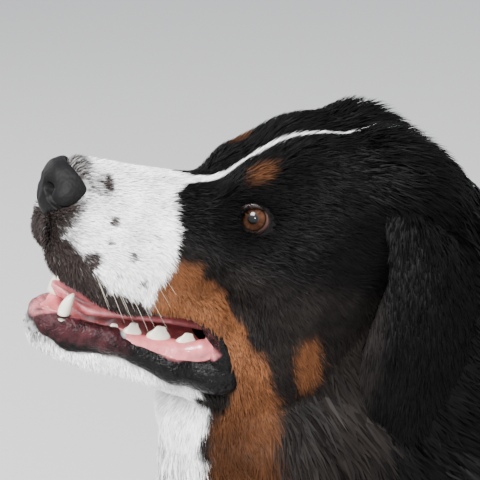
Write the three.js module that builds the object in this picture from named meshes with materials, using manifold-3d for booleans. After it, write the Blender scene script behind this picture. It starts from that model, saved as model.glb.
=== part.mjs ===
// Bernese mountain dog, life size, standing with its head raised and its mouth open.
//
// Millimetres, +Z up. The dog faces -Y and its left side is +X. The body is described as
// smooth-blended forms, and each part's surface is a loft fitted to them. The long coat is
// built as flat, tapered locks that grow from a core and lie along the body.

import * as THREE from 'three';
import { mergeVertices } from 'three/addons/utils/BufferGeometryUtils.js';
import Module from 'manifold-3d';

const wasm = await Module();
wasm.setup();

// Driving dimensions

const GAP = 0.3;                       // between meshes that meet
const CENTRE_SHIFT = 36;               // moves the whole dog so that its box is centred on Y
const HEAD_ORIGIN = [0, -482, 789];    // midway between the eyes
const HEAD_PITCH = 16;                 // degrees that the muzzle points above level

const EYE = { at: [-4, 30, 10], radius: 12 };            // in the head's own frame
const EAR = { thick: 9, cup: 7, root: 61, top: 47, tip: -110 };

// How deep the coat lies over the skin

const COAT = {
  muzzle: 3, skull: 6, crown: 15, underEar: 22, neck: 42, nape: 32, chest: 48,
  body: 31, belly: 36, breeches: 46, tail: 46, leg: 9, paw: 6,
};
const CORE_SHARE = 0.42;               // part of the long coat's depth that is solid core

// Sections of the tube-like forms: place along, half width, top, bottom

const MUZZLE = [
  [-14, 44, 32, -50], [14, 40, 20, -52], [30, 36, 17.5, -52], [50, 32, 17, -50],
  [75, 29, 17, -46], [98, 26, 18, -40], [112, 21, 17.5, -34], [121, 13, 9, -24],
];
const JAW = [
  [-62, 42, -64, -122], [-20, 42, -84, -126], [15, 37, -92, -126], [45, 32, -90, -121],
  [75, 26, -86, -119], [98, 20, -82, -112], [113, 11, -83, -101],
];
const MOUTH = [
  [-26, 32, -60, -88], [10, 34, -52, -92], [60, 27, -42, -90], [95, 19, -36, -85], [118, 12, -34, -85],
];
const EAR_LEAF = [
  [-42, -74, -110, 58], [-24, -77, -136, 68], [0, -81, -151, 78], [26, -77, -158, 85],
  [52, -73, -162, 90], [74, -79, -161, 93], [90, -88, -155, 95], [101, -102, -143, 96],
];
const NOSE = [
  [94, 17, 20, -10], [104, 20, 21, -12], [114, 19.5, 20.5, -17], [122, 16, 18.5, -19],
  [127, 11.5, 15, -16], [130, 6, 9, -10],
];
const TORSO = [
  [-420, 38, 520, 420], [-385, 80, 580, 372], [-320, 104, 622, 344], [-240, 114, 645, 336],
  [-140, 118, 640, 340], [-20, 112, 630, 354], [90, 103, 624, 376], [180, 97, 624, 402],
  [265, 91, 614, 414], [325, 72, 588, 424], [362, 36, 548, 452],
];

// Vectors

const add = (a, b) => [a[0] + b[0], a[1] + b[1], a[2] + b[2]];
const sub = (a, b) => [a[0] - b[0], a[1] - b[1], a[2] - b[2]];
const times = (a, k) => [a[0] * k, a[1] * k, a[2] * k];
const dot = (a, b) => a[0] * b[0] + a[1] * b[1] + a[2] * b[2];
const cross = (a, b) => [a[1] * b[2] - a[2] * b[1], a[2] * b[0] - a[0] * b[2], a[0] * b[1] - a[1] * b[0]];
const unit = (a) => times(a, 1 / (Math.hypot(...a) || 1));
const mix = (a, b, t) => a + (b - a) * t;
const mixPoint = (a, b, t) => [mix(a[0], b[0], t), mix(a[1], b[1], t), mix(a[2], b[2], t)];
const mirrored = (p) => [Math.abs(p[0]), p[1], p[2]];
const ramp = (x, from, to) => {
  const t = Math.min(1, Math.max(0, (x - from) / (to - from)));
  return t * t * (3 - 2 * t);
};

// The head's own frame: forward along the muzzle, left, and up

const pitch = THREE.MathUtils.degToRad(HEAD_PITCH);
const FORWARD = [0, -Math.cos(pitch), Math.sin(pitch)];
const UPWARD = [0, Math.sin(pitch), Math.cos(pitch)];
const fromHead = ([a, l, u]) => add(add(add(HEAD_ORIGIN, times(FORWARD, a)), times(UPWARD, u)), [l, 0, 0]);
const toHead = (p) => {
  const d = sub(p, HEAD_ORIGIN);
  return [dot(d, FORWARD), d[0], dot(d, UPWARD)];
};

// Forms: each returns the distance of a point from its surface, below zero inside

const blend = (a, b, k) => {
  const h = Math.max(k - Math.abs(a - b), 0) / k;
  return Math.min(a, b) - (h * h * k) / 4;
};
const carve = (a, b, k) => -blend(-a, b, k);

function ellipsoid(p, centre, radii, tilt = 0) {
  let [x, y, z] = sub(p, centre);
  if (tilt) {
    const c = Math.cos(THREE.MathUtils.degToRad(tilt));
    const s = Math.sin(THREE.MathUtils.degToRad(tilt));
    [x, z] = [x * c + z * s, -x * s + z * c];
  }
  const near = Math.hypot(x / radii[0], y / radii[1], z / radii[2]);
  const slope = Math.hypot(x / radii[0] ** 2, y / radii[1] ** 2, z / radii[2] ** 2);
  return (near * (near - 1)) / Math.max(slope, 1e-9);
}

function limb(p, from, to, fromRadius, toRadius) {
  const along = sub(to, from);
  const t = Math.min(1, Math.max(0, dot(sub(p, from), along) / dot(along, along)));
  return Math.hypot(...sub(sub(p, from), times(along, t))) - mix(fromRadius, toRadius, t);
}

function readTable(table, x) {
  const last = table.length - 1;
  const at = Math.min(Math.max(x, table[0][0]), table[last][0]);
  let i = 0;
  while (i < last - 1 && table[i + 1][0] <= at) i += 1;
  const slope = (j, k) => {
    if (j === 0) return (table[1][k] - table[0][k]) / (table[1][0] - table[0][0]);
    if (j === last) return (table[last][k] - table[last - 1][k]) / (table[last][0] - table[last - 1][0]);
    const before = table[j][0] - table[j - 1][0];
    const after = table[j + 1][0] - table[j][0];
    const ahead = before * before * (table[j + 1][k] - table[j][k]);
    const behind = after * after * (table[j][k] - table[j - 1][k]);
    const rise = ahead + behind;
    return rise / (before * after * (before + after));
  };
  const h = table[i + 1][0] - table[i][0];
  const t = (at - table[i][0]) / h;
  const leave = 2 * t ** 3 - 3 * t ** 2 + 1;
  const start = (t ** 3 - 2 * t ** 2 + t) * h;
  const end = (t ** 3 - t ** 2) * h;
  const value = (k) => mix(table[i + 1][k], table[i][k], leave) + start * slope(i, k) + end * slope(i + 1, k);
  return [1, 2, 3].map(value);
}

function tube(along, across, up, table, power) {
  const [width, top, bottom] = readTable(table, along);
  const half = (top - bottom) / 2;
  const sideways = Math.abs(across / width) ** power;
  const upright = Math.abs((up - (top + bottom) / 2) / half) ** power;
  const ring = (sideways + upright) ** (1 / power);
  const inside = (ring - 1) * Math.min(width, half);
  const past = Math.max(table[0][0] - along, along - table[table.length - 1][0]);
  if (past > 0) return Math.hypot(Math.max(inside, 0), past);
  return inside > 0 ? inside : Math.max(inside, past);
}

// The head's forms, in its own frame

function upperHead(q) {
  const m = [q[0], Math.abs(q[1]), q[2]];
  let d = ellipsoid(m, [-58, 0, 12], [60, 34, 48]);                          // middle of the skull
  d = blend(d, ellipsoid(m, [-64, 26, 18], [58, 32, 48]), 12);               // temples
  d = blend(d, ellipsoid(m, [-104, 20, 16], [44, 34, 47]), 20);              // back of the skull
  d = blend(d, ellipsoid(m, [-11, 24, 23], [21, 17, 15]), 14);               // brow
  d = blend(d, ellipsoid(m, [-40, 46, -12], [48, 22, 34]), 26);              // cheekbone
  d = blend(d, ellipsoid(m, [-52, 40, -52], [44, 26, 50]), 26);              // jaw muscle
  d = blend(d, tube(q[0], q[1], q[2], MUZZLE, 2.5), 18);
  d = blend(d, limb(m, [-2, 47, -18], [44, 28, -10], 10, 10), 18);           // below the eye
  let lip = ellipsoid(m, [54, 35, -38], [48, 10.5, 27], -3);
  lip = blend(lip, ellipsoid(m, [92, 23, -30], [30, 12, 23], -14), 14);
  lip = blend(lip, ellipsoid(m, [110, 9, -27], [12.5, 14, 19]), 10);
  lip = blend(lip, limb(m, [42, 41, -50], [17, 45, -54], 8.5, 7.5), 8);
  lip = blend(lip, limb(m, [17, 45, -54], [-5, 47, -78], 7.5, 7), 6);
  d = blend(d, lip, 12);
  return blend(d, ellipsoid(m, [92, 21, -14], [28, 13, 19]), 10);            // whisker cushion
}

function lowerJaw(q) {
  const m = [q[0], Math.abs(q[1]), q[2]];
  let d = tube(q[0], q[1], q[2], JAW, 2.4);
  d = blend(d, ellipsoid(m, [102, 0, -95], [15, 18, 15]), 12);               // chin
  let lip = limb(m, [103, 12, -87], [66, 27, -89], 5.5, 7);
  lip = blend(lip, limb(m, [66, 27, -89], [27, 38, -98], 7, 9.5), 6);
  lip = blend(lip, limb(m, [27, 38, -98], [2, 43, -99], 9.5, 9.5), 8);
  lip = blend(lip, limb(m, [2, 43, -99], [-9, 46, -84], 9.5, 7), 8);
  return blend(d, lip, 6);
}

function backOfHead(q) {
  const m = [q[0], Math.abs(q[1]), q[2]];
  const throat = ellipsoid(m, [-74, 0, -84], [54, 46, 44]);
  return blend(throat, ellipsoid(m, [-32, 42, -76], [32, 16, 38]), 16);      // throat and cheek
}

const mouthHollow = (q) => tube(q[0], q[1], q[2], MOUTH, 3);
function shortCoat([a, l, u]) {
  const crest = 0.7 * ramp(a, -45, -68) + 0.3 * Math.exp(-(((a + 74) / 18) ** 2));
  const tuft = crest * ramp(u, 30, 55) * (0.6 + 0.4 * ramp(Math.abs(l), 6, 24));
  return mix(COAT.skull, COAT.muzzle, ramp(a, -20, 30)) + COAT.crown * tuft;
}

// Upper head without its jaw, out to the tips of its short coat
const craniumField = (q) => carve(blend(upperHead(q), backOfHead(q), 24) - shortCoat(q), mouthHollow(q), 4);
const jawField = (q) => carve(lowerJaw(q) - COAT.muzzle, mouthHollow(q), 3);

// The body's forms

const torsoForm = (p) => tube(p[1], p[0], p[2], TORSO, 2.2);

function neckForm(p) {
  const narrow = mix(1, 1.32, ramp(p[2], 540, 700));
  const q = [p[0] * narrow, p[1], p[2]];
  let d = limb(q, [0, -235, 530], [0, -345, 640], 110, 92);
  d = blend(d, limb(q, [0, -345, 640], [0, -400, 728], 90, 72), 30);
  return blend(d, limb(q, [0, -395, 500], [0, -430, 640], 84, 72), 40) / narrow;
}

const FORE = {
  shoulder: [92, -292, 470], upper: [95, -255, 400], elbow: [90, -262, 300],
  wrist: [86, -268, 120], pastern: [86, -282, 48], paw: [86, -300],
};
const HIND = {
  hip: [84, 235, 470], thigh: [92, 200, 380], knee: [90, 240, 296],
  hock: [90, 344, 172], pastern: [90, 326, 60], paw: [90, 304],
};
const TOES = [[-25, -26], [-9, -38], [9, -38], [25, -26]];

function foreLegForm(m) {
  let d = ellipsoid(m, FORE.shoulder, [42, 80, 122]);
  d = blend(d, limb(m, FORE.upper, FORE.elbow, 50, 39), 30);
  d = blend(d, limb(m, FORE.elbow, FORE.wrist, 35, 25), 20);
  return blend(d, limb(m, FORE.wrist, FORE.pastern, 25, 26), 14);
}

function hindLegForm(m) {
  let d = ellipsoid(m, HIND.hip, [48, 104, 128]);
  d = blend(d, limb(m, HIND.thigh, HIND.knee, 58, 43), 34);
  d = blend(d, limb(m, HIND.knee, HIND.hock, 37, 24), 22);
  return blend(d, limb(m, HIND.hock, HIND.pastern, 23, 24), 16);
}

function pawForm(m, [x, y]) {
  let d = ellipsoid(m, [x, y, 30], [38, 44, 30]);
  for (const [dx, dy] of TOES) {
    d = blend(d, ellipsoid(m, [x + dx, y + dy, 22], [12.5, 24, 21]), 6);
  }
  return d;
}

const TAIL = [[0, 335, 575], [0, 436, 510], [0, 482, 370], [0, 500, 225]];
function tailForm(p) {
  let d = limb(p, TAIL[0], TAIL[1], 38, 30);
  d = blend(d, limb(p, TAIL[1], TAIL[2], 30, 25), 14);
  return blend(d, limb(p, TAIL[2], TAIL[3], 25, 10), 14);
}

// Depth of the coat at a point of the body
function coatDepth(p) {
  const m = mirrored(p);
  let depth = mix(COAT.body, COAT.belly, ramp(m[2], 460, 360));
  depth = mix(depth, COAT.neck, ramp(p[1], -230, -330) * ramp(p[2], 480, 560));
  depth = mix(depth, COAT.nape, ramp(p[1], -420, -380) * ramp(p[2], 690, 730));
  depth = mix(depth, COAT.chest, ramp(p[1], -340, -420) * ramp(p[2], 700, 620));
  depth = mix(depth, COAT.underEar, ramp(m[0], 40, 80) * ramp(p[2], 610, 690) * ramp(p[1], -300, -350));
  depth = mix(depth, COAT.breeches, ramp(p[1], 250, 330) * ramp(p[2], 240, 330));
  const foreLeg = ramp(p[1], -170, -210) * ramp(p[1], -420, -360) * ramp(m[2], 350, 290);
  depth = mix(depth, COAT.leg, foreLeg);
  const hindLeg = ramp(p[1], 120, 170) * ramp(m[2], 330, 240);
  depth = mix(depth, COAT.leg, hindLeg);
  depth = mix(depth, COAT.paw, ramp(m[2], 90, 60));
  return mix(depth, COAT.tail, ramp(p[1], 375, 395) * ramp(p[2], 190, 240));
}
const coreDepth = (p) => {
  const depth = coatDepth(p);
  return depth * mix(1, CORE_SHARE, ramp(depth, 14, 28));
};

const torsoCore = (p) => blend(torsoForm(p), neckForm(p), 50) - coreDepth(p);
const neckCore = (p) => neckForm(p) - coreDepth(p);
const foreLegCore = (p) => blend(foreLegForm(mirrored(p)), pawForm(mirrored(p), FORE.paw), 12) - coreDepth(p);
const hindLegCore = (p) => blend(hindLegForm(mirrored(p)), pawForm(mirrored(p), HIND.paw), 12) - coreDepth(p);
const tailCore = (p) => tailForm(p) - coreDepth(p);

// Meshes: rings of points joined into one closed surface

function closedLoft(rings, startPole, endPole) {
  const sides = rings[0].length;
  const points = rings.flat();
  const faces = [];
  const first = points.push(startPole) - 1;
  const last = points.push(endPole) - 1;
  rings.forEach((ring, r) => {
    for (let k = 0; k < sides; k += 1) {
      const next = (k + 1) % sides;
      const a = r * sides + k;
      const b = r * sides + next;
      if (r === 0) faces.push([first, b, a]);
      if (r < rings.length - 1) faces.push([a, b, b + sides], [a, b + sides, a + sides]);
      else faces.push([last, a, b]);
    }
  });
  return { points, faces };
}

function geometryOf({ points, faces }) {
  const geometry = new THREE.BufferGeometry();
  geometry.setAttribute('position', new THREE.Float32BufferAttribute(points.flat(), 3));
  geometry.setIndex(faces.flat());
  return geometry;
}

function solidFrom(geometry) {
  const bare = geometry.clone();
  bare.deleteAttribute('normal');
  bare.deleteAttribute('uv');
  const merged = mergeVertices(bare, 1e-4);
  const vertProperties = new Float32Array(merged.attributes.position.array);
  const make = (triVerts) => new wasm.Manifold(new wasm.Mesh({ numProp: 3, vertProperties, triVerts }));
  const solid = make(new Uint32Array(merged.index.array));
  if (solid.volume() >= 0) return solid;
  const turned = Uint32Array.from(merged.index.array);
  for (let i = 0; i < turned.length; i += 3) [turned[i], turned[i + 1]] = [turned[i + 1], turned[i]];
  return make(turned);
}
const solidOf = (loft) => solidFrom(geometryOf(loft));

// Distance from a point along a direction to where a field crosses zero
function reach(field, from, direction, limit = 400, step = 4) {
  let inside = 0;
  let t = 0;
  while (t < limit) {
    t += step;
    if (field(add(from, times(direction, t))) > 0) break;
    inside = t;
  }
  let [low, high] = [inside, t];
  for (let i = 0; i < 14; i += 1) {
    const middle = (low + high) / 2;
    if (field(add(from, times(direction, middle))) > 0) high = middle;
    else low = middle;
  }
  return low;
}

// A loft whose rings lie where the field's surface is, seen from a curve inside it.
// Ring places crowd where `places` says, and each end closes on the curve's own line.
function fittedLoft({ field, spine, places, sides, side = [1, 0, 0], least = 1.5 }) {
  const curve = new THREE.CatmullRomCurve3(spine.map((p) => new THREE.Vector3(...p)), false, 'centripetal');
  const rings = places.map((t) => {
    const centre = curve.getPointAt(t).toArray();
    const along = curve.getTangentAt(t).toArray();
    const up = unit(cross(along, side));
    return Array.from({ length: sides }, (_, k) => {
      const angle = (2 * Math.PI * (k + 0.5)) / sides;
      const ray = add(times(side, Math.cos(angle)), times(up, Math.sin(angle)));
      return add(centre, times(ray, Math.max(least, reach(field, centre, ray))));
    });
  });
  const tip = (t, sign) => {
    const centre = curve.getPointAt(t).toArray();
    const along = times(curve.getTangentAt(t).toArray(), sign);
    return add(centre, times(along, reach(field, centre, along)));
  };
  return closedLoft(rings, tip(places[0], -1), tip(places[places.length - 1], 1));
}
const spread = (count, from = 0, to = 1) => (
  Array.from({ length: count }, (_, i) => mix(from, to, i / (count - 1)))
);
const headSpine = (points) => points.map(fromHead);
const inHead = (field) => (p) => field(toHead(p));

// Ellipsoid as a solid, with its axes along the head's frame
function ovalInHead(centre, radii, detail = [14, 9]) {
  const geometry = new THREE.SphereGeometry(1, detail[0], detail[1]);
  const basis = new THREE.Matrix4().set(
    0, 1, 0, 0,
    FORWARD[1], 0, UPWARD[1], 0,
    FORWARD[2], 0, UPWARD[2], 0,
    0, 0, 0, 1,
  );
  const place = new THREE.Matrix4().makeTranslation(...fromHead(centre));
  geometry.applyMatrix4(place.multiply(basis).multiply(new THREE.Matrix4().makeScale(...radii)));
  return solidFrom(geometry);
}

// Round bar through points, with a radius at each, tapering to its ends
function roll(points, radii, sides = 8, steps = 10) {
  const curve = new THREE.CatmullRomCurve3(points.map((p) => new THREE.Vector3(...p)));
  const rings = spread(steps).map((t) => {
    const centre = curve.getPointAt(t).toArray();
    const along = curve.getTangentAt(t).toArray();
    const side = unit(cross(along, Math.abs(along[2]) < 0.9 ? [0, 0, 1] : [1, 0, 0]));
    const up = cross(side, along);
    const slot = t * (radii.length - 1);
    const i = Math.min(radii.length - 2, Math.floor(slot));
    const radius = mix(radii[i], radii[i + 1], slot - i);
    return Array.from({ length: sides }, (_, k) => {
      const angle = (2 * Math.PI * k) / sides;
      return add(centre, add(times(side, radius * Math.cos(angle)), times(up, radius * Math.sin(angle))));
    });
  });
  const end = (t, sign, radius) => {
    const p = curve.getPointAt(t).toArray();
    return add(p, times(curve.getTangentAt(t).toArray(), sign * radius * 0.6));
  };
  return solidOf(closedLoft(rings, end(0, -1, radii[0]), end(1, 1, radii[radii.length - 1])));
}

const bothSides = (make) => [1, -1].map((sign) => make(sign));
const largest = (solid) => solid.decompose().sort((a, b) => b.volume() - a.volume())[0];
const joined = (solids) => solids.reduce((whole, solid) => whole.add(solid));

function boxSolid(centre, size, turn = 0) {
  const geometry = new THREE.BoxGeometry(...size);
  geometry.rotateX(THREE.MathUtils.degToRad(turn));
  geometry.translate(...centre);
  return solidFrom(geometry);
}

// Head parts

function buildCranium() {
  const skull = solidOf(fittedLoft({
    field: inHead(craniumField),
    spine: headSpine([[118, 0, -12], [80, 0, -12], [40, 0, -12], [0, 0, -8], [-50, 0, -6], [-118, 0, -10]]),
    places: [0, 0.03, 0.07, ...spread(13, 0.12, 0.96), 0.99],
    sides: 22,
  }));
  const margin = [
    [114, 5, -43], [104, 15, -48], [87, 25, -57], [66, 36, -61],
    [46, 42, -57], [30, 44, -54], [14, 46, -61], [-4, 47, -80],
  ];
  const edge = (s) => margin.map(([a, l, u]) => fromHead([a, l * s, u]));
  const lips = bothSides((s) => roll(edge(s), [5, 6, 6, 7, 7, 7, 7, 8], 6, 9));
  const openings = bothSides((s) => ovalInHead(
    [EYE.at[0] + 4.5, (EYE.at[1] + 13) * s, EYE.at[2] + 0.5], [12.5, 13, 10.5], [12, 8],
  ));
  const pierced = openings.reduce((solid, opening) => solid.subtract(opening), joined([skull, ...lips]));
  return joined([pierced, ...bothSides(eyelids)]);
}

function eyelids(s) {
  const [a, l, u] = EYE.at;
  const place = ([da, dl, du]) => fromHead([a + da, (l + dl) * s, u + du]);
  const rim = (points) => roll(points.map(place), [2.4, 3.4, 3.6, 3.4, 2.4], 5, 6);
  const inner = [15.5, 3, 0.5];
  const outer = [-9, 15, -7.5];
  const upper = rim([inner, [10.5, 9, 7.5], [3, 12.5, 9.5], [-5, 14.5, 5], outer]);
  const lower = rim([inner, [10.5, 7, -7], [3.5, 10.5, -10], [-4, 13.5, -11], outer]);
  return upper.add(lower);
}

function buildJaw() {
  const bone = solidOf(fittedLoft({
    field: inHead(jawField),
    spine: headSpine([[108, 0, -96], [80, 0, -101], [40, 0, -104], [0, 0, -105], [-30, 0, -103]]),
    places: [0, 0.04, ...spread(7, 0.11, 1)],
    sides: 14,
  }));
  const margin = [
    [106, 6, -86], [96, 15, -86], [80, 23, -88], [62, 30, -90], [42, 36, -96], [20, 42, -99], [-6, 47, -96],
  ];
  const edge = (s) => margin.map(([a, l, u]) => fromHead([a, l * s, u]));
  const lips = bothSides((s) => roll(edge(s), [4.5, 5, 6, 7, 8, 9, 8], 6, 8));
  return joined([bone, ...lips]);
}

// Lower teeth: a canine, three front teeth and a row of cheek teeth on each side
function lowerTeeth() {
  const tooth = ([a, l, u], height, width, lean = 0) => {
    const root = fromHead([a, l, u - 6]);
    const top = fromHead([a - lean, l, u + height]);
    return roll([root, mixPoint(root, top, 0.55), top], [width, width * 0.85, width * 0.25], 4, 3);
  };
  const cheek = [[67, 24, 5, 3.5], [54, 26, 8, 4.5], [38, 28, 9, 5.5], [22, 30, 8, 5]];
  const rows = bothSides((s) => [
    tooth([100, 15.5 * s, -82], 17, 5, 3),
    ...[0, 1, 2].map((i) => tooth([110 - i * 1.5, (2.6 + 4.2 * i) * s, -82], 6, 2.1)),
    ...cheek.map(([a, l, height, width]) => tooth([a, l * s, -86], height + 5, width)),
  ]);
  return rows.flat();
}

function buildTongue(grow = 0) {
  const rings = spread(9).map((t) => {
    const a = mix(96, -14, t);
    const half = mix(13, 24, ramp(t, 0, 0.6)) * (t === 0 ? 0.7 : 1) + grow;
    const level = mix(-80, -76, t) - 2 * Math.cos(t * 6);
    const profile = [[0, -3.5], [0.9, -1], [1, 2], [0.75, 4.2], [0.3, 3.2], [0, 2.2]];
    const section = [...profile, ...profile.slice(1, -1).reverse().map(([x, z]) => [-x, z])];
    return section.map(([x, z]) => fromHead([a, x * half, level + z * (1 + grow / 4)]));
  });
  return solidOf(closedLoft(rings, fromHead([103 + grow, 0, -81]), fromHead([-18 - grow, 0, -76])));
}

const noseField = (grow) => (p) => {
  const q = toHead(p);
  const m = [q[0], Math.abs(q[1]), q[2]];
  const pad = blend(tube(q[0], q[1], q[2], NOSE, 2.3), ellipsoid(m, [113, 15, -1], [13, 9, 11]), 6);
  const edge = 117.5 - 12 * (m[1] / 20) ** 2 - 6 * ramp(m[2], 0, -14);
  return -blend(-pad, q[0] - edge, 3) - grow;
};

function buildNose(grow = 0) {
  const pad = solidOf(fittedLoft({
    field: noseField(grow),
    spine: headSpine([[119, 0, 2], [122, 0, 1], [127, 0, 0]]),
    places: [0.1, 0.4, 0.7, 0.95],
    sides: 16,
  }));
  if (grow) return pad;
  const nostrils = bothSides((s) => roll(
    [[134, 9 * s, 3], [123, 10 * s, 3], [117, 16 * s, 0], [114, 25 * s, -2]].map(fromHead),
    [3.5, 4.6, 3.6, 2], 6, 5,
  ));
  return nostrils.reduce((solid, hole) => solid.subtract(hole), pad);
}

// Ear: a cupped leaf that hangs from the side of the skull, hollow towards the head
function buildEar(s, grow = 0) {
  const levels = spread(10, EAR_LEAF[0][0], EAR_LEAF[EAR_LEAF.length - 1][0]);
  const rings = levels.map((drop, row) => {
    const [front, back, l] = readTable(EAR_LEAF, drop);
    const a = (front + back) / 2;
    const half = (front - back) / 2 + grow;
    const thick = mix(EAR.thick, EAR.thick * 0.6, row / 9) / 2;
    const wall = (x) => thick * Math.sqrt(Math.max(0.12, 1 - x * x)) + grow;
    const cup = (x) => (1 - x * x) * EAR.cup;
    const outer = spread(7, -1, 1).map((x) => [x, cup(x) + wall(x)]);
    const inner = spread(7, 1, -1).map((x) => [x * 0.97, cup(x) - wall(x)]);
    const place = ([x, out]) => fromHead([a + x * half, (l + out) * s, x * half * 0.12 - drop]);
    return [...outer, ...inner].map(place);
  });
  const root = fromHead([-92, 64 * s, EAR.top + 4 * grow]);
  const tip = fromHead([-122, 103 * s, EAR.tip - 4 * grow]);
  return solidOf(closedLoft(rings, root, tip));
}

// Body parts

const buildTorso = () => solidOf(fittedLoft({
  field: torsoCore,
  spine: [[0, -440, 480], [0, -320, 490], [0, -120, 490], [0, 120, 500], [0, 350, 505]],
  places: spread(10, 0.0, 1),
  sides: 12,
}));

const buildNeck = () => solidOf(fittedLoft({
  field: neckCore,
  spine: [[0, -300, 520], [0, -352, 600], [0, -400, 690], [0, -414, 740]],
  places: spread(5),
  sides: 12,
}));

function buildForeLeg(s) {
  return solidOf(fittedLoft({
    field: foreLegCore,
    spine: [
      [92 * s, -280, 520], [94 * s, -262, 400], [90 * s, -262, 300],
      [86 * s, -268, 130], [86 * s, -280, 60], [86 * s, -298, 18],
    ],
    places: [...spread(7, 0, 0.8), 0.88, 0.95],
    sides: 10,
  })).add(pawSolid(s, FORE.paw));
}

function buildHindLeg(s) {
  return solidOf(fittedLoft({
    field: hindLegCore,
    spine: [
      [84 * s, 230, 530], [88 * s, 220, 430], [90 * s, 232, 310],
      [90 * s, 340, 178], [90 * s, 330, 80], [90 * s, 306, 18],
    ],
    places: [...spread(10, 0, 0.84), 0.92],
    sides: 10,
  })).add(pawSolid(s, HIND.paw));
}

// Paw with four toes and their claws
function pawSolid(s, [x, y]) {
  const pad = new THREE.SphereGeometry(1, 10, 6);
  pad.scale(41, 50, 36);
  pad.translate(x * s, y + 4, 28);
  const toes = [[-25, -26], [-9, -38], [9, -38], [25, -26]].map(([dx, dy]) => {
    const toe = new THREE.SphereGeometry(1, 6, 5);
    toe.scale(14, 27, 24);
    toe.translate((x + dx) * s, y + dy, 22);
    const root = [(x + dx) * s, y + dy - 16, 20];
    const tip = [(x + dx * 1.04) * s, y + dy - 31, 7];
    return solidFrom(toe).add(roll([root, mixPoint(root, tip, 0.5), tip], [5, 1.2], 4, 2));
  });
  return joined([solidFrom(pad), ...toes]);
}

const buildTail = () => solidOf(fittedLoft({
  field: tailCore,
  spine: [[0, 340, 570], ...TAIL.slice(1, 3), [0, 498, 244]],
  places: spread(9, 0, 0.97),
  sides: 12,
}));

// Coat of long locks

let seed = 20;
function chance(low, high) {
  seed = (seed * 16807) % 2147483647;
  return low + (high - low) * (seed / 2147483647);
}

function outward(field, p) {
  const e = 1.5;
  const slope = [0, 1, 2].map((i) => {
    const step = [0, 0, 0];
    step[i] = e;
    return field(add(p, step)) - field(sub(p, step));
  });
  return unit(slope);
}

// One lock: flat and tapered, its root sunk in the core, bending over the form as it goes
function lock({
  field, root, lie, length, width, rise,
  depth = 9, thick = 5, drift = chance(-0.16, 0.16),
}) {
  const profile = [[0, 0.72, 0.9], [0.5, 1, 1]];
  let p = root;
  let done = 0;
  const rings = [];
  const place = (t) => {
    const normal = outward(field, p);
    const across = unit(cross(lie(p), normal));
    const onward = unit(add(cross(normal, across), times(across, drift * Math.sin(t * 5 + drift * 20))));
    p = add(p, times(onward, (t - done) * length));
    done = t;
    const height = mix(-depth, rise, Math.sin(Math.min(1, t * 1.15) * Math.PI / 2));
    const fresh = outward(field, p);
    p = sub(p, times(fresh, field(p) - height));
    return { normal: fresh, across };
  };
  for (const [t, wide, high] of profile) {
    const { normal, across } = place(t);
    const w = times(across, (wide * width) / 2);
    const h = times(normal, high * thick);
    rings.push([add(p, w), add(p, h), sub(p, w)]);
  }
  place(1);
  const rootCentre = times(add(add(rings[0][0], rings[0][1]), rings[0][2]), 1 / 3);
  return solidOf(closedLoft(rings, rootCentre, p));
}

// Rows of locks round a part: `rows` gives each row's place on the spine
function coatRows({ field, spine, rows, angles, lie, make, side = [1, 0, 0] }) {
  const curve = new THREE.CatmullRomCurve3(spine.map((p) => new THREE.Vector3(...p)), false, 'centripetal');
  const locks = [];
  rows.forEach((t, row) => {
    const centre = curve.getPointAt(t).toArray();
    const along = curve.getTangentAt(t).toArray();
    const up = unit(cross(along, side));
    angles.forEach((turn, k) => {
      const stagger = (row % 2 ? 0.5 : 0) * (angles[1] - angles[0]);
      const angle = THREE.MathUtils.degToRad(turn + stagger + chance(-2.5, 2.5));
      const ray = add(times(side, Math.cos(angle)), times(up, Math.sin(angle)));
      const root = add(centre, times(ray, reach(field, centre, ray)));
      const spec = make(root, row, k);
      if (spec) locks.push(lock({ field, root, lie, ...spec }));
    });
  });
  return locks;
}
const spareDepth = (p) => coatDepth(p) - coreDepth(p);
const around = (count) => Array.from({ length: count }, (_, k) => (360 * k) / count);

const bodyLie = (p) => {
  const flank = Math.min(1, Math.abs(p[0]) / 110);
  return unit([p[0] * 0.0006, 0.92, -0.12 - 0.5 * flank]);
};
const chestLie = (p) => unit([p[0] * 0.002, mix(0.1, 0.75, ramp(p[1], -470, -330)), -0.95]);
const neckLie = (p) => unit([p[0] * 0.0012, mix(0.12, 0.72, ramp(p[1], -520, -360)), -0.8]);
const rumpLie = (p) => unit([0, mix(0.9, 0.3, ramp(p[1], 250, 360)), mix(-0.3, -0.95, ramp(p[1], 200, 340))]);

function torsoLocks() {
  return coatRows({
    field: torsoCore,
    spine: [[0, -330, 500], [0, -120, 490], [0, 120, 500], [0, 330, 500]],
    rows: spread(5, 0.03, 0.95),
    angles: around(8),
    lie: (p) => (p[1] > 200 ? rumpLie(p) : bodyLie(p)),
    make: (root) => {
      const limbBelow = root[2] < 372 && Math.abs(root[0]) > 44 && (root[1] < -180 || root[1] > 120);
      if (limbBelow) return null;
      const length = 190 + chance(-10, 16);
      const width = 90 + chance(-5, 5);
      return { length, width, rise: spareDepth(root) * chance(0.8, 1) };
    },
  });
}

function neckLocks() {
  return coatRows({
    field: torsoCore,
    spine: [[0, -330, 500], [0, -352, 600], [0, -392, 690], [0, -412, 730]],
    rows: spread(4, 0.16, 0.92),
    angles: around(9),
    lie: neckLie,
    make: (root) => ({
      length: 122 + chance(-8, 12),
      width: 66 + chance(-4, 4),
      rise: spareDepth(root) * chance(0.8, 1),
    }),
  });
}

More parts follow.
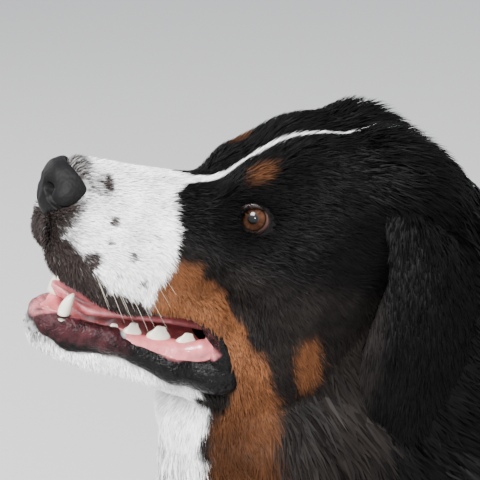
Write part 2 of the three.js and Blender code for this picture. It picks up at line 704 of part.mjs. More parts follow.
function chestLocks() {
  const locks = [];
  const roots = [[-0.4, 588], [0.4, 588], [-0.9, 545], [0, 540], [0.9, 545], [-0.42, 486], [0.42, 486]];
  roots.forEach(([turn, z]) => {
    const from = [0, -330, z];
    const ray = unit([Math.sin(turn), -Math.cos(turn), 0]);
    const root = add(from, times(ray, reach(torsoCore, from, ray)));
    const rise = spareDepth(root) * chance(0.85, 1);
    locks.push(lock({ field: torsoCore, root, lie: chestLie, length: 118, width: 66, rise }));
  });
  return locks;
}

function tailLocks() {
  const at = (p) => ramp(p[2], 500, 380);
  return coatRows({
    field: tailCore,
    spine: [[0, 410, 520], ...TAIL.slice(1, 3), [0, 498, 244]],
    rows: spread(4, 0.0, 0.84),
    angles: around(5),
    lie: (p) => unit([0, mix(0.5, 0.12, at(p)), -0.9]),
    make: (root, row) => ({
      length: row === 3 ? 82 : 124,
      width: 52 - row * 4,
      rise: spareDepth(root) * mix(0.95, 0.6, row / 3),
    }),
  });
}

function breechesLocks(s) {
  const locks = [];
  for (const [x, z] of [[66, 462], [108, 452], [84, 404], [66, 356], [106, 360]]) {
    const from = [x * s, 240, z];
    const root = add(from, times([0, 1, 0], reach(hindLegCore, from, [0, 1, 0])));
    const rise = spareDepth(root) * 0.95;
    const lie = () => unit([0, 0.28, -1]);
    locks.push(lock({ field: hindLegCore, root, lie, length: 112, width: 54, rise }));
  }
  return locks;
}

// Feathering down the back of each foreleg
function featherLocks(s) {
  return spread(3, 312, 200).map((z, i) => {
    const from = [(90 + (i % 2 ? 7 : -7)) * s, -264, z];
    const root = add(from, times([0, 1, 0], reach(foreLegCore, from, [0, 1, 0])));
    return lock({
      field: foreLegCore, root, lie: () => unit([0, 0.42, -1]),
      length: 88 - i * 4, width: 36, rise: 26 - i * 3, depth: 8,
    });
  });
}

// The nape's hair springs from the back of the skull
function napeLocks() {
  const field = (p) => blend(torsoCore(p), craniumField(toHead(p)), 20);
  return [-66, -22, 22, 66].map((turn) => {
    const angle = THREE.MathUtils.degToRad(turn);
    const from = fromHead([-96, 0, 16]);
    const ray = add(times([1, 0, 0], Math.sin(angle)), times(UPWARD, Math.cos(angle)));
    const root = add(from, times(ray, reach(field, from, ray)));
    return lock({ field, root, lie: neckLie, length: 116, width: 58, rise: 20 });
  });
}

// The thigh's hair, outside the hip
function thighLocks(s) {
  const field = (p) => Math.min(torsoCore(p), hindLegCore(p));
  return [[180, 516], [262, 500], [206, 452], [286, 440]].map(([y, z]) => {
    const from = [60 * s, y, z];
    const root = add(from, times([s, 0, 0], reach(field, from, [s, 0, 0])));
    return lock({ field, root, lie: rumpLie, length: 130, width: 74, rise: spareDepth(root) * 0.95 });
  });
}

// Whole animal, parted by thin cuts

const far = 3000;
// Everything past a plane through a point. The plane's normal leans by `turn` degrees about X
function past(point, turn, offset = 0) {
  const angle = THREE.MathUtils.degToRad(turn);
  const normal = [0, Math.cos(angle), Math.sin(angle)];
  return boxSolid(add(point, times(normal, far / 2 + offset)), [far, far, far], turn);
}

function tiltedBox(centre, size, turn) {
  const geometry = new THREE.BoxGeometry(...size);
  geometry.rotateY(THREE.MathUtils.degToRad(turn));
  geometry.translate(...centre);
  return solidFrom(geometry);
}

// Room that a leg takes: outside an upright plane and below one that rises outwards
function legRoom(s, { inner, front, back, top, slope }, grow) {
  const block = boxSolid(
    [s * (inner - grow + 150), (front + back) / 2, 280],
    [300, back - front + 2 * grow, 600],
  );
  const angle = THREE.MathUtils.degToRad(slope);
  const drop = far / 2 - grow;
  const centre = [s * (inner + drop * Math.sin(angle)), (front + back) / 2, top - drop * Math.cos(angle)];
  return block.intersect(tiltedBox(centre, [far, far, far], -s * slope));
}
const FORE_ROOM = { inner: 44, front: -420, back: -150, top: 322, slope: 40 };
const HIND_ROOM = { inner: 36, front: 96, back: 440, top: 384, slope: 44 };

const NAPE = { at: [0, -429, 742], turn: -42 };
const COLLAR = { at: [0, -390, 600], turn: -62 };
const TAIL_SET = 392;

const HINGE = { back: -12, level: -79 };
const jawRoom = (grow) => {
  const geometry = new THREE.BoxGeometry(300, 300, 300);
  geometry.rotateX(-pitch);
  geometry.translate(...fromHead([HINGE.back + 150 - grow, 0, HINGE.level - 150 + grow]));
  return solidFrom(geometry);
};

const jawFlesh = buildJaw();
const behindJaw = boxSolid(fromHead([HINGE.back - 150, 0, 0]), [300, 300, 300], -HEAD_PITCH);
const flesh = joined([
  buildCranium(), jawFlesh.subtract(jawRoom(0)).intersect(behindJaw), buildTorso(), buildNeck(), buildTail(),
  ...bothSides(buildForeLeg), ...bothSides(buildHindLeg),
]);
const coat = joined([
  ...torsoLocks(), ...neckLocks(), ...chestLocks(), ...tailLocks(), ...napeLocks(),
  ...bothSides(thighLocks).flat(),
  ...bothSides(breechesLocks).flat(), ...bothSides(featherLocks).flat(),
]);
const whole = flesh.add(coat).intersect(boxSolid([0, 0, 1000], [2000, 2400, 2000]));

const tongue = buildTongue();
const nose = buildNose();
const slice = (s, from, to) => boxSolid([(s * (from + to)) / 2, -400, 750], [to - from, 600, 700]);
const ears = bothSides((s) => ({
  solid: buildEar(s).intersect(slice(s, EAR.root + GAP, 300)),
  base: buildEar(s).intersect(slice(s, 0, EAR.root)),
  room: buildEar(s, 0.8).intersect(slice(s, EAR.root, 300)),
}));
const eyes = bothSides((s) => {
  const at = [EYE.at[0], EYE.at[1] * s, EYE.at[2]];
  const ball = (radius) => ovalInHead(at, [radius, radius, radius], [12, 8]);
  return { solid: ball(EYE.radius), room: ball(EYE.radius + GAP) };
});

const cutOut = (solid, tools) => tools.reduce((rest, tool) => rest.subtract(tool), solid);
const earRooms = ears.map(({ room }) => room);
const eyeRooms = eyes.map(({ room }) => room);
const tongueRoom = buildTongue(GAP + 0.2);
const foreRooms = (grow) => bothSides((s) => legRoom(s, FORE_ROOM, grow));
const hindRooms = (grow) => bothSides((s) => legRoom(s, HIND_ROOM, grow));
const tailRoom = (grow) => past([0, TAIL_SET, 0], 0, -grow);

const behindNape = past(NAPE.at, NAPE.turn, -GAP / 2);
const head = cutOut(
  joined([whole, ...ears.map(({ base }) => base)]),
  [behindNape, jawRoom(GAP), buildNose(GAP), tongueRoom, ...earRooms, ...eyeRooms],
);
const jaw = joined([jawFlesh.intersect(jawRoom(0)), ...lowerTeeth()]).subtract(tongueRoom);
const neck = cutOut(
  whole.intersect(past(NAPE.at, NAPE.turn, GAP / 2)),
  [past(COLLAR.at, COLLAR.turn, -GAP / 2), jawRoom(GAP), ...earRooms],
);
const torso = cutOut(
  whole.intersect(past(COLLAR.at, COLLAR.turn, GAP / 2)),
  [...foreRooms(GAP), ...hindRooms(GAP), tailRoom(GAP), ...earRooms],
);
const tail = whole.intersect(tailRoom(0));

function meshGeometry(solid) {
  const mesh = solid.getMesh();
  const geometry = new THREE.BufferGeometry();
  geometry.setAttribute('position', new THREE.BufferAttribute(mesh.vertProperties, 3));
  geometry.setIndex(new THREE.BufferAttribute(mesh.triVerts, 1));
  return geometry;
}

const group = new THREE.Group();
function show(name, solid, colour, roughness = 0.8) {
  const welded = solidFrom(meshGeometry(largest(solid)));
  const geometry = meshGeometry(largest(welded));
  const material = new THREE.MeshStandardMaterial({ color: colour, roughness, metalness: 0 });
  const node = new THREE.Mesh(geometry, material);
  node.name = name;
  group.add(node);
}
const sideName = (i) => (i === 0 ? 'left' : 'right');
show('head', head, '#1c1a19');
show('lower_jaw', jaw, '#e8e4dd');
show('neck', neck, '#1c1a19');
show('torso', torso, '#1a1817');
show('tail', tail, '#1a1817');
show('nose', nose, '#2a2a2c', 0.45);
show('tongue', tongue, '#d9808a', 0.35);
ears.forEach(({ solid }, i) => show(`ear_${sideName(i)}`, solid, '#171615'));
eyes.forEach(({ solid }, i) => show(`eye_${sideName(i)}`, solid, '#3a1f12', 0.08));
foreRooms(0).forEach((room, i) => show(`foreleg_${sideName(i)}`, whole.intersect(room), '#a4592a'));
hindRooms(0).forEach((room, i) => {
  show(`hind_leg_${sideName(i)}`, whole.intersect(room).subtract(tailRoom(GAP)), '#a4592a');
});

group.position.y = CENTRE_SHIFT;
export default group;
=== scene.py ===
"""Dresses the Bernese mountain dog: one skin under a coat of mesh tufts, with eyes, nose, mouth and claws.

Lengths are millimetres until a mesh is made; `metres` then turns them into the frame's metres. The dog's own
layout faces -Y, with its left side at +X and +Z up. The head has a frame of its own: forward, left, up.
"""

import logging
import math
from dataclasses import dataclass
from enum import Enum
from itertools import product
from typing import Callable, Sequence

import bpy
import numpy as np
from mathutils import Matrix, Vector
from mathutils.kdtree import KDTree


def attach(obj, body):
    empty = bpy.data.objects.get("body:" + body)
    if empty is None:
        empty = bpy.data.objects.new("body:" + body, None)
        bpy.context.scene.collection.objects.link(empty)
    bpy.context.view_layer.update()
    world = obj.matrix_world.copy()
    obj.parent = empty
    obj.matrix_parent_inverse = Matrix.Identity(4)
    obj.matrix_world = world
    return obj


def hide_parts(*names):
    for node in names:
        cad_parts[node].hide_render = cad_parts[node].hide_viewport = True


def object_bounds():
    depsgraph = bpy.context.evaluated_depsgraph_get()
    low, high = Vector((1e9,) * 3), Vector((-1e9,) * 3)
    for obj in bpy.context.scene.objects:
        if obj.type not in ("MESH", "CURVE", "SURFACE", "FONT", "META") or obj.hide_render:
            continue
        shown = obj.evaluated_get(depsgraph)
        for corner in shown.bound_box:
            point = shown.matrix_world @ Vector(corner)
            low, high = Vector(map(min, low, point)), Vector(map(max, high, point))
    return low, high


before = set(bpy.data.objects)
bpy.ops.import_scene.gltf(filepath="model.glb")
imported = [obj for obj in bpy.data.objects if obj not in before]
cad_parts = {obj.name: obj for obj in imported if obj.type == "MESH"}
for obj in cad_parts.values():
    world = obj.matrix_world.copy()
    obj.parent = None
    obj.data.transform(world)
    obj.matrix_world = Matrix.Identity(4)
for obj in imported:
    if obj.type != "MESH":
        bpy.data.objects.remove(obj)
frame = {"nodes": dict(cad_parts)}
CAD_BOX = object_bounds()
LOG = logging.getLogger("dog")

Array = np.ndarray
Chance = np.random.Generator
Colour = tuple[float, float, float]
Place = tuple[float, float, float]
Field = Callable[[Array], Array]
Surface = tuple[Array, Sequence[Sequence[int]]]
Table = tuple[tuple[float, ...], ...]
Group = bpy.types.ShaderNodeTree
Material = bpy.types.Material
Piece = bpy.types.Object
Socket = bpy.types.NodeSocket


# Layout

CENTRE_SHIFT = 36.0
HEAD_ORIGIN = np.array([0.0, -482.0, 789.0])
HEAD_PITCH = math.radians(16.0)
FORWARD = np.array([0.0, -math.cos(HEAD_PITCH), math.sin(HEAD_PITCH)])
UPWARD = np.array([0.0, math.sin(HEAD_PITCH), math.cos(HEAD_PITCH)])
LEFT = np.array([1.0, 0.0, 0.0])
EYE = np.array([-4.0, 30.0, 10.0])
EYE_RADIUS = 12.0
UNDERFUR = 24.0
# Painted shade: skin and ear leaves under the coat take the coat's colour darkened by this factor, as shade
# deep in the hair
HIDE_PAINTED_SHADE = 0.7
SIDES = ((1, "left"), (-1, "right"))

# Where the pieces of the coat meet: along the head, along the body, and in height

MUZZLE_START = 16
NECK_END, LOIN, TAIL_START = -230, 160, 392
BREAST_TOP, ELBOW, STIFLE, SOLE = 560, 330, 300, 3


def from_head(q: Array) -> Array:
    """Turns points of the head's frame into the dog's layout."""
    q = np.asarray(q, float)
    return HEAD_ORIGIN + q[..., 0:1] * FORWARD + q[..., 2:3] * UPWARD + q[..., 1:2] * LEFT


def to_head(p: Array) -> Array:
    """Turns points of the dog's layout into the head's frame."""
    d = np.asarray(p, float) - HEAD_ORIGIN
    return np.stack([d @ FORWARD, d[..., 0], d @ UPWARD], -1)


def turn_from_head(v: Array) -> Array:
    """Turns directions of the head's frame into the dog's layout."""
    v = np.asarray(v, float)
    return v[..., 0:1] * FORWARD + v[..., 2:3] * UPWARD + v[..., 1:2] * LEFT


def metres(p: Array) -> Array:
    """Turns millimetres of the dog's layout into metres of the frame."""
    return (np.asarray(p, float) + np.array([0.0, CENTRE_SHIFT, 0.0])) / 1000.0


# Small numeric helpers


def ramp(x: Array, start: float, end: float) -> Array:
    """Smooth step from 0 at start to 1 at end."""
    t = np.clip((np.asarray(x, float) - start) / (end - start), 0.0, 1.0)
    return t * t * (3.0 - 2.0 * t)


def mix(a: Array, b: Array, t: Array) -> Array:
    """Linear mix of a and b."""
    return a + (b - a) * t


def unit(v: Array) -> Array:
    """Vectors of length one."""
    return v / np.maximum(np.linalg.norm(v, axis=-1, keepdims=True), 1e-9)


def mirrored(p: Array) -> Array:
    """Points of the dog's layout folded onto its left side."""
    m = np.array(p, float)
    m[..., 0] = np.abs(m[..., 0])
    return m


def folded(q: Array) -> Array:
    """Points of the head's frame folded onto its left side."""
    return np.stack([q[..., 0], np.abs(q[..., 1]), q[..., 2]], -1)


def wave(p: Array, size: float, phase: float) -> Array:
    """Smooth pseudo-random value from -1 to 1 that changes over about `size` millimetres."""
    k = 2.0 * math.pi / size
    x, y, z = p[..., 0] * k, p[..., 1] * k, p[..., 2] * k
    a = np.sin(x * 0.83 + y * 0.47 - z * 0.31 + phase)
    b = np.sin(-x * 0.37 + y * 0.91 + z * 0.58 + phase * 2.3)
    c = np.sin(x * 0.52 - y * 0.63 + z * 0.97 + phase * 4.1)
    return (a + b * c + np.sin(a * 2.1 + c * 1.7 + phase)) / 2.6


def scatter(corners: Array, weight: Array, count: int, chance: Chance) -> tuple[Array, Array]:
    """Even scatter of points over triangles.

    Args:
        corners: Corners of the triangles.
        weight: Share of each triangle.
        count: Number of points.
        chance: Random source.

    Returns:
        The points and the triangle of each.
    """
    total = np.cumsum(weight)
    face = np.searchsorted(total, (np.arange(count) + chance.random(count)) / count * total[-1])
    r, s = chance.random((2, count))
    over = r + s > 1
    r, s = np.where(over, 1 - r, r)[:, None], np.where(over, 1 - s, s)[:, None]
    c = corners[face]
    return c[:, 0] + (c[:, 1] - c[:, 0]) * r + (c[:, 2] - c[:, 0]) * s, face


# Forms: distance of points from a surface, below zero inside


def blend(a: Array, b: Array, k: float) -> Array:
    """Smooth union."""
    h = np.maximum(k - np.abs(a - b), 0.0) / k
    return np.minimum(a, b) - h * h * k / 4.0


def carve(a: Array, b: Array, k: float) -> Array:
    """Smooth cut of b out of a."""
    return -blend(-a, b, k)


def blend_cut(a: Array, b: Array, k: float) -> Array:
    """Smooth common part of a and b."""
    return -blend(-a, -b, k)


def joined(first: Array, *others: tuple[Array, float]) -> Array:
    """Smooth union of a form with others, each given with its blend."""
    for other, k in others:
        first = blend(first, other, k)
    return first


def ellipsoid(p: Array, centre: Sequence[float], radii: Sequence[float], tilt: float = 0.0) -> Array:
    """Ellipsoid, its first axis tilted up by `tilt` degrees."""
    q = p - np.asarray(centre, float)
    if tilt:
        c, s = math.cos(math.radians(tilt)), math.sin(math.radians(tilt))
        q = np.stack([q[..., 0] * c + q[..., 2] * s, q[..., 1], -q[..., 0] * s + q[..., 2] * c], -1)
    r = np.asarray(radii, float)
    near = np.linalg.norm(q / r, axis=-1)
    slope = np.linalg.norm(q / (r * r), axis=-1)
    return near * (near - 1.0) / np.maximum(slope, 1e-9)


def limb(p: Array, start: Sequence[float], end: Sequence[float], start_radius: float,
         end_radius: float) -> Array:
    """Round bar that changes radius along its length."""
    a, b = np.asarray(start, float), np.asarray(end, float)
    along = b - a
    t = np.clip(((p - a) @ along) / (along @ along), 0.0, 1.0)
    radius = start_radius + (end_radius - start_radius) * t
    return np.linalg.norm(p - a - t[..., None] * along, axis=-1) - radius


def bars_along(p: Array, stations: Table) -> list[Array]:
    """Round bars from station to station, each a place and a radius."""
    return [limb(p, a[:3], b[:3], a[3], b[3]) for a, b in zip(stations, stations[1:])]


def chain(p: Array, stations: Table, blends: Sequence[float]) -> Array:
    """Smooth union of the bars from station to station."""
    bars = bars_along(p, stations)
    return joined(bars[0], *zip(bars[1:], blends))


def read_table(table: Table, x: Array) -> Array:
    """Smooth reading of a section table at places x."""
    rows = np.asarray(table, float)
    places, values = rows[:, 0], rows[:, 1:]
    at = np.clip(x, places[0], places[-1])
    i = np.clip(np.searchsorted(places, at, side="right") - 1, 0, len(places) - 2)
    slopes = np.gradient(values, places, axis=0)
    h = (places[i + 1] - places[i])[..., None]
    t = ((at - places[i]) / (places[i + 1] - places[i]))[..., None]
    return (
        (2 * t**3 - 3 * t**2 + 1) * values[i]
        + (t**3 - 2 * t**2 + t) * h * slopes[i]
        + (-2 * t**3 + 3 * t**2) * values[i + 1]
        + (t**3 - t**2) * h * slopes[i + 1]
    )


def tube(along: Array, across: Array, up: Array, table: Table, power: float) -> Array:
    """Body whose sections are rounded boxes read from a table of place, half width, top and bottom."""
    width, top, bottom = np.moveaxis(read_table(table, along), -1, 0)
    half = (top - bottom) / 2.0
    level = (up - (top + bottom) / 2.0) / half
    ring = (np.abs(across / width) ** power + np.abs(level) ** power) ** (1.0 / power)
    inside = (ring - 1.0) * np.minimum(width, half)
    past = np.maximum(table[0][0] - along, along - table[-1][0])
    beyond = np.hypot(np.maximum(inside, 0.0), past)
    return np.where(past > 0, beyond, np.where(inside > 0, inside, np.maximum(inside, past)))


def breast_swell(p: Array) -> Array:
    """1 on throat and breast, where dense underfur carries the long hair outwards."""
    return ramp(p[..., 1], -405, -465) * ramp(p[..., 2], 470, 540) * ramp(p[..., 2], 682, 640)


@dataclass(frozen=True)
class CoatDepths:
    """How deep the coat lies over the skin, by place."""

    muzzle: float = 3.0
    skull: float = 6.0
    crown: float = 15.0
    body: float = 31.0
    belly: float = 36.0
    neck: float = 42.0
    nape: float = 32.0
    chest: float = 48.0
    tail: float = 46.0
    breeches: float = 46.0
    under_ear: float = 22.0
    leg: float = 9.0
    paw: float = 6.0

    def on_head(self, q: Array) -> Array:
        """Depth on the head, at points of its own frame."""
        a, l, u = q[..., 0], np.abs(q[..., 1]), q[..., 2]
        depth = mix(self.skull, self.muzzle, ramp(a, -20, 30))
        crest = 0.7 * ramp(a, -45, -68) + 0.3 * np.exp(-(((a + 74) / 18) ** 2))
        return depth + self.crown * crest * ramp(u, 30, 55) * (0.6 + 0.4 * ramp(l, 6, 24))

    def on_body(self, p: Array) -> Array:
        """Depth on neck, trunk, legs and tail."""
        x, y, z = np.abs(p[..., 0]), p[..., 1], p[..., 2]
        depth = mix(self.body, self.belly, ramp(z, 460, 360))
        for value, share in (
            (self.neck, ramp(y, -230, -330) * ramp(z, 480, 560)),
            (self.nape, ramp(y, -420, -380) * ramp(z, 690, 730)),
            (self.chest, ramp(y, -340, -420) * ramp(z, 700, 620)),
            (self.under_ear, ramp(x, 40, 80) * ramp(z, 610, 690) * ramp(y, -300, -350)),
            (self.breeches, ramp(y, 250, 330) * ramp(z, 240, 330)),
            (self.leg, ramp(y, -170, -210) * ramp(y, -420, -360) * ramp(z, 350, 290)),
            (self.leg, ramp(y, 120, 170) * ramp(z, 330, 240)),
            (self.paw, ramp(z, 90, 60)),
            (self.tail, ramp(y, 375, 395) * ramp(z, 190, 240)),
        ):
            depth = mix(depth, value, share)
        return depth


@dataclass(frozen=True)
class Anatomy:
    """The dog's shape at skin level, as smooth-blended forms.

    Section tables hold place, half width, top and bottom; chains hold a place and a radius. Forms of the head
    take points of the head's frame, apart from `head`, and forms of the body take points of the dog's layout.
    """

    muzzle: Table = (
        (-14, 44, 32, -50), (14, 40, 20, -52), (30, 36, 17.5, -52), (50, 32, 17, -50),
        (75, 29, 17, -46), (98, 26, 18, -40), (112, 21, 17.5, -34), (121, 13, 9, -24),
    )
    jaw_bone: Table = (
        (-62, 42, -64, -122), (-20, 42, -84, -126), (15, 37, -92, -126), (45, 32, -90, -121),
        (75, 26, -86, -119), (98, 20, -82, -112), (113, 11, -83, -101),
    )
    jaw_lip: Table = (
        (103, 12, -87, 5.5), (66, 27, -89, 7), (27, 38, -98, 9.5), (2, 43, -99, 9.5), (-9, 46, -84, 7),
    )
    mouth_room: Table = (
        (-26, 32, -60, -88), (10, 34, -52, -92), (60, 27, -42, -90), (95, 19, -36, -85), (118, 12, -34, -85),
    )
    mouth_slit: Table = ((54, 44, -75, 11), (30, 50, -74, 14), (15, 52, -76.5, 10), (8, 52, -76, 3))
    lip_front: Table = ((113, 0, -85, 8), (106, 12, -88, 9), (92, 20, -90, 12), (72, 27, -89, 11))
    lip_margin: Table = (
        (113, 4, -46, 3.8), (104, 14, -53, 3.8), (85, 25, -62, 3.8), (63, 37, -65, 4.4), (46, 43, -60, 5.8),
        (30, 47, -58, 7.0), (15, 49, -65, 8.5), (4, 50, -75, 9.0), (-6, 51, -90, 9.0),
    )
    lip_lining: Table = ((88, 21, -60, 4), (63, 33, -62, 5), (30, 43, -56, 6))
    nose_sections: Table = (
        (94, 17, 20, -10), (104, 20, 21, -12), (114, 19.5, 20.5, -17),
        (122, 16, 18.5, -19), (127, 11.5, 15, -16), (130, 6, 9, -10),
    )
    trunk_sections: Table = (
        (-420, 38, 520, 420), (-385, 80, 580, 372), (-320, 104, 622, 344), (-240, 114, 645, 336),
        (-140, 118, 640, 340), (-20, 112, 630, 354), (90, 103, 624, 376), (180, 97, 624, 402),
        (265, 91, 614, 414), (325, 72, 588, 424), (362, 36, 548, 452),
    )
    tail_bone: Table = ((0, 335, 575, 38), (0, 436, 510, 30), (0, 482, 370, 25), (0, 500, 225, 10))
    fore_paw: tuple[float, float] = (86.0, -300.0)
    hind_paw: tuple[float, float] = (90.0, 304.0)
    toes: Table = ((-25, -26), (-9, -38), (9, -38), (25, -26))

    def upper_head(self, q: Array) -> Array:
        """Skull, muzzle and upper lips."""
        m = folded(q)
        lip = joined(
            ellipsoid(m, (54, 35, -38), (48, 10.5, 27), -3),
            (ellipsoid(m, (92, 23, -30), (30, 12, 23), -14), 14),
            (ellipsoid(m, (110, 9, -27), (12.5, 14, 19)), 10),
            (limb(m, (42, 41, -50), (17, 45, -54), 8.5, 7.5), 8),
            (limb(m, (17, 45, -54), (-5, 47, -78), 7.5, 7), 6),
        )
        return joined(
            ellipsoid(m, (-58, 0, 12), (60, 34, 48)),
            (ellipsoid(m, (-64, 26, 18), (58, 32, 48)), 12),
            (ellipsoid(m, (-104, 20, 16), (44, 34, 47)), 20),
            (ellipsoid(m, (-11, 24, 23), (21, 17, 15)), 14),
            (ellipsoid(m, (-40, 46, -12), (48, 22, 34)), 26),
            (ellipsoid(m, (-52, 40, -52), (44, 26, 50)), 26),
            (tube(q[..., 0], q[..., 1], q[..., 2], self.muzzle, 2.5), 18),
            (limb(m, (-2, 47, -18), (44, 28, -10), 10, 10), 18),
            (lip, 12),
            (ellipsoid(m, (92, 21, -14), (28, 13, 19)), 10),
        )

    def lower_jaw(self, q: Array) -> Array:
        """Lower jaw and lip."""
        m = folded(q)
        bone = tube(q[..., 0], q[..., 1], q[..., 2], self.jaw_bone, 2.4)
        chin = ellipsoid(m, (102, 0, -95), (15, 18, 15))
        return joined(bone, (chin, 12), (chain(m, self.jaw_lip, (6, 8, 8)), 6))

    def mouth(self, q: Array) -> Array:
        """Room inside the mouth, with the slit that runs to its corner."""
        m = folded(q)
        room = tube(q[..., 0], q[..., 1], q[..., 2], self.mouth_room, 3.0)
        slit = blend(chain(m, self.mouth_slit, (4, 4)), limb(m, (34, 40, -76), (8, 38, -82), 10, 6), 4)
        return blend(room, slit, 5)

    def lower_lip(self, q: Array) -> Array:
        """Band of bare black skin on the lower lip, below zero on it."""
        m = folded(q)
        return joined(
            chain(m, self.lip_front, (4, 4)),
            (limb(m, (72, 28, -91), (50, 37, -92), 7, 8), 3),
            (limb(m, (50, 37, -93), (20, 46, -99), 8.5, 11), 4),
            (limb(m, (20, 46, -99), (-4, 50, -98), 11, 11.5), 4),
        )

    def upper_lip(self, q: Array) -> Array:
        """Narrow black margin and lining of the upper lip, below zero on it."""
        m = folded(q)
        return np.minimum.reduce([*bars_along(m, self.lip_margin), *bars_along(m, self.lip_lining)])

    def lips(self, q: Array) -> Array:
        """Bare skin of both lips, below zero on it."""
        return np.minimum(self.lower_lip(q), self.upper_lip(q))

    def closed_head(self, q: Array) -> Array:
        """Head before its mouth and sockets are cut."""
        m = folded(q)
        d = blend(self.upper_head(q), self.lower_jaw(q), 6)
        throat = ellipsoid(m, (-74, 0, -84), (54, 46, 44))
        return blend(d, blend(throat, ellipsoid(m, (-32, 42, -76), (32, 16, 38)), 16), 24)

    def head(self, p: Array) -> Array:
        """Whole head with its open mouth and eye sockets, at points of the dog's layout."""
        q = to_head(p)
        d = carve(self.closed_head(q), self.mouth(q), 4)
        d = carve(d, ellipsoid(folded(q), EYE + np.array([3.5, 9, 0]), (11.5, 13, 10.5)), 4)
        return carve(d, self.nose(q) + 3.0, 3)

    def nose(self, q: Array) -> Array:
        """Nose pad without its nostrils."""
        m = folded(q)
        d = tube(q[..., 0], q[..., 1], q[..., 2], self.nose_sections, 2.3)
        d = blend(d, ellipsoid(m, (113, 15, -1), (13, 9, 11)), 6)
        edge = 117.5 - 12.0 * (m[..., 1] / 20.0) ** 2 - 6.0 * ramp(m[..., 2], 0, -14)
        return blend_cut(d, edge - m[..., 0], 3)

    def trunk(self, p: Array) -> Array:
        """Chest, belly and rump."""
        return tube(p[..., 1], p[..., 0], p[..., 2], self.trunk_sections, 2.2)

    def neck(self, p: Array) -> Array:
        """Neck from the skull to the shoulders and down to the breast."""
        narrow = mix(1.0, 1.32, ramp(p[..., 2], 540, 700))
        q = np.stack([p[..., 0] * narrow, p[..., 1], p[..., 2]], -1)
        d = joined(
            limb(q, (0, -235, 530), (0, -345, 640), 110, 92),
            (limb(q, (0, -345, 640), (0, -400, 728), 90, 72), 30),
            (limb(q, (0, -395, 500), (0, -430, 640), 84, 72), 40),
        )
        return d / narrow - UNDERFUR * breast_swell(p)

    def fore_leg(self, p: Array) -> Array:
        """Foreleg with its shoulder."""
        m = mirrored(p)
        return joined(
            ellipsoid(m, (92, -292, 470), (42, 80, 122)),
            (limb(m, (95, -255, 400), (90, -262, 300), 50, 39), 30),
            (limb(m, (90, -262, 300), (86, -268, 120), 35, 25), 20),
            (limb(m, (86, -268, 120), (86, -282, 48), 25, 26), 14),
            (self.paw(m, self.fore_paw), 12),
        )

    def hind_leg(self, p: Array) -> Array:
        """Hind leg with its thigh."""
        m = mirrored(p)
        return joined(
            ellipsoid(m, (84, 235, 470), (48, 104, 128)),
            (limb(m, (92, 200, 380), (90, 240, 296), 58, 43), 34),
            (limb(m, (90, 240, 296), (90, 344, 172), 37, 24), 22),
            (limb(m, (90, 344, 172), (90, 326, 60), 23, 24), 16),
            (self.paw(m, self.hind_paw), 12),
        )

    def paw(self, m: Array, place: tuple[float, float]) -> Array:
        """Paw with four toes, folded onto the left side."""
        x, y = place
        toes = [(ellipsoid(m, (x + dx, y + dy, 22), (12.5, 24, 21)), 6) for dx, dy in self.toes]
        return joined(ellipsoid(m, (x, y, 30), (38, 44, 30)), *toes)

    def tail(self, p: Array) -> Array:
        """Tail bone and flesh."""
        return chain(p, self.tail_bone, (14, 14))


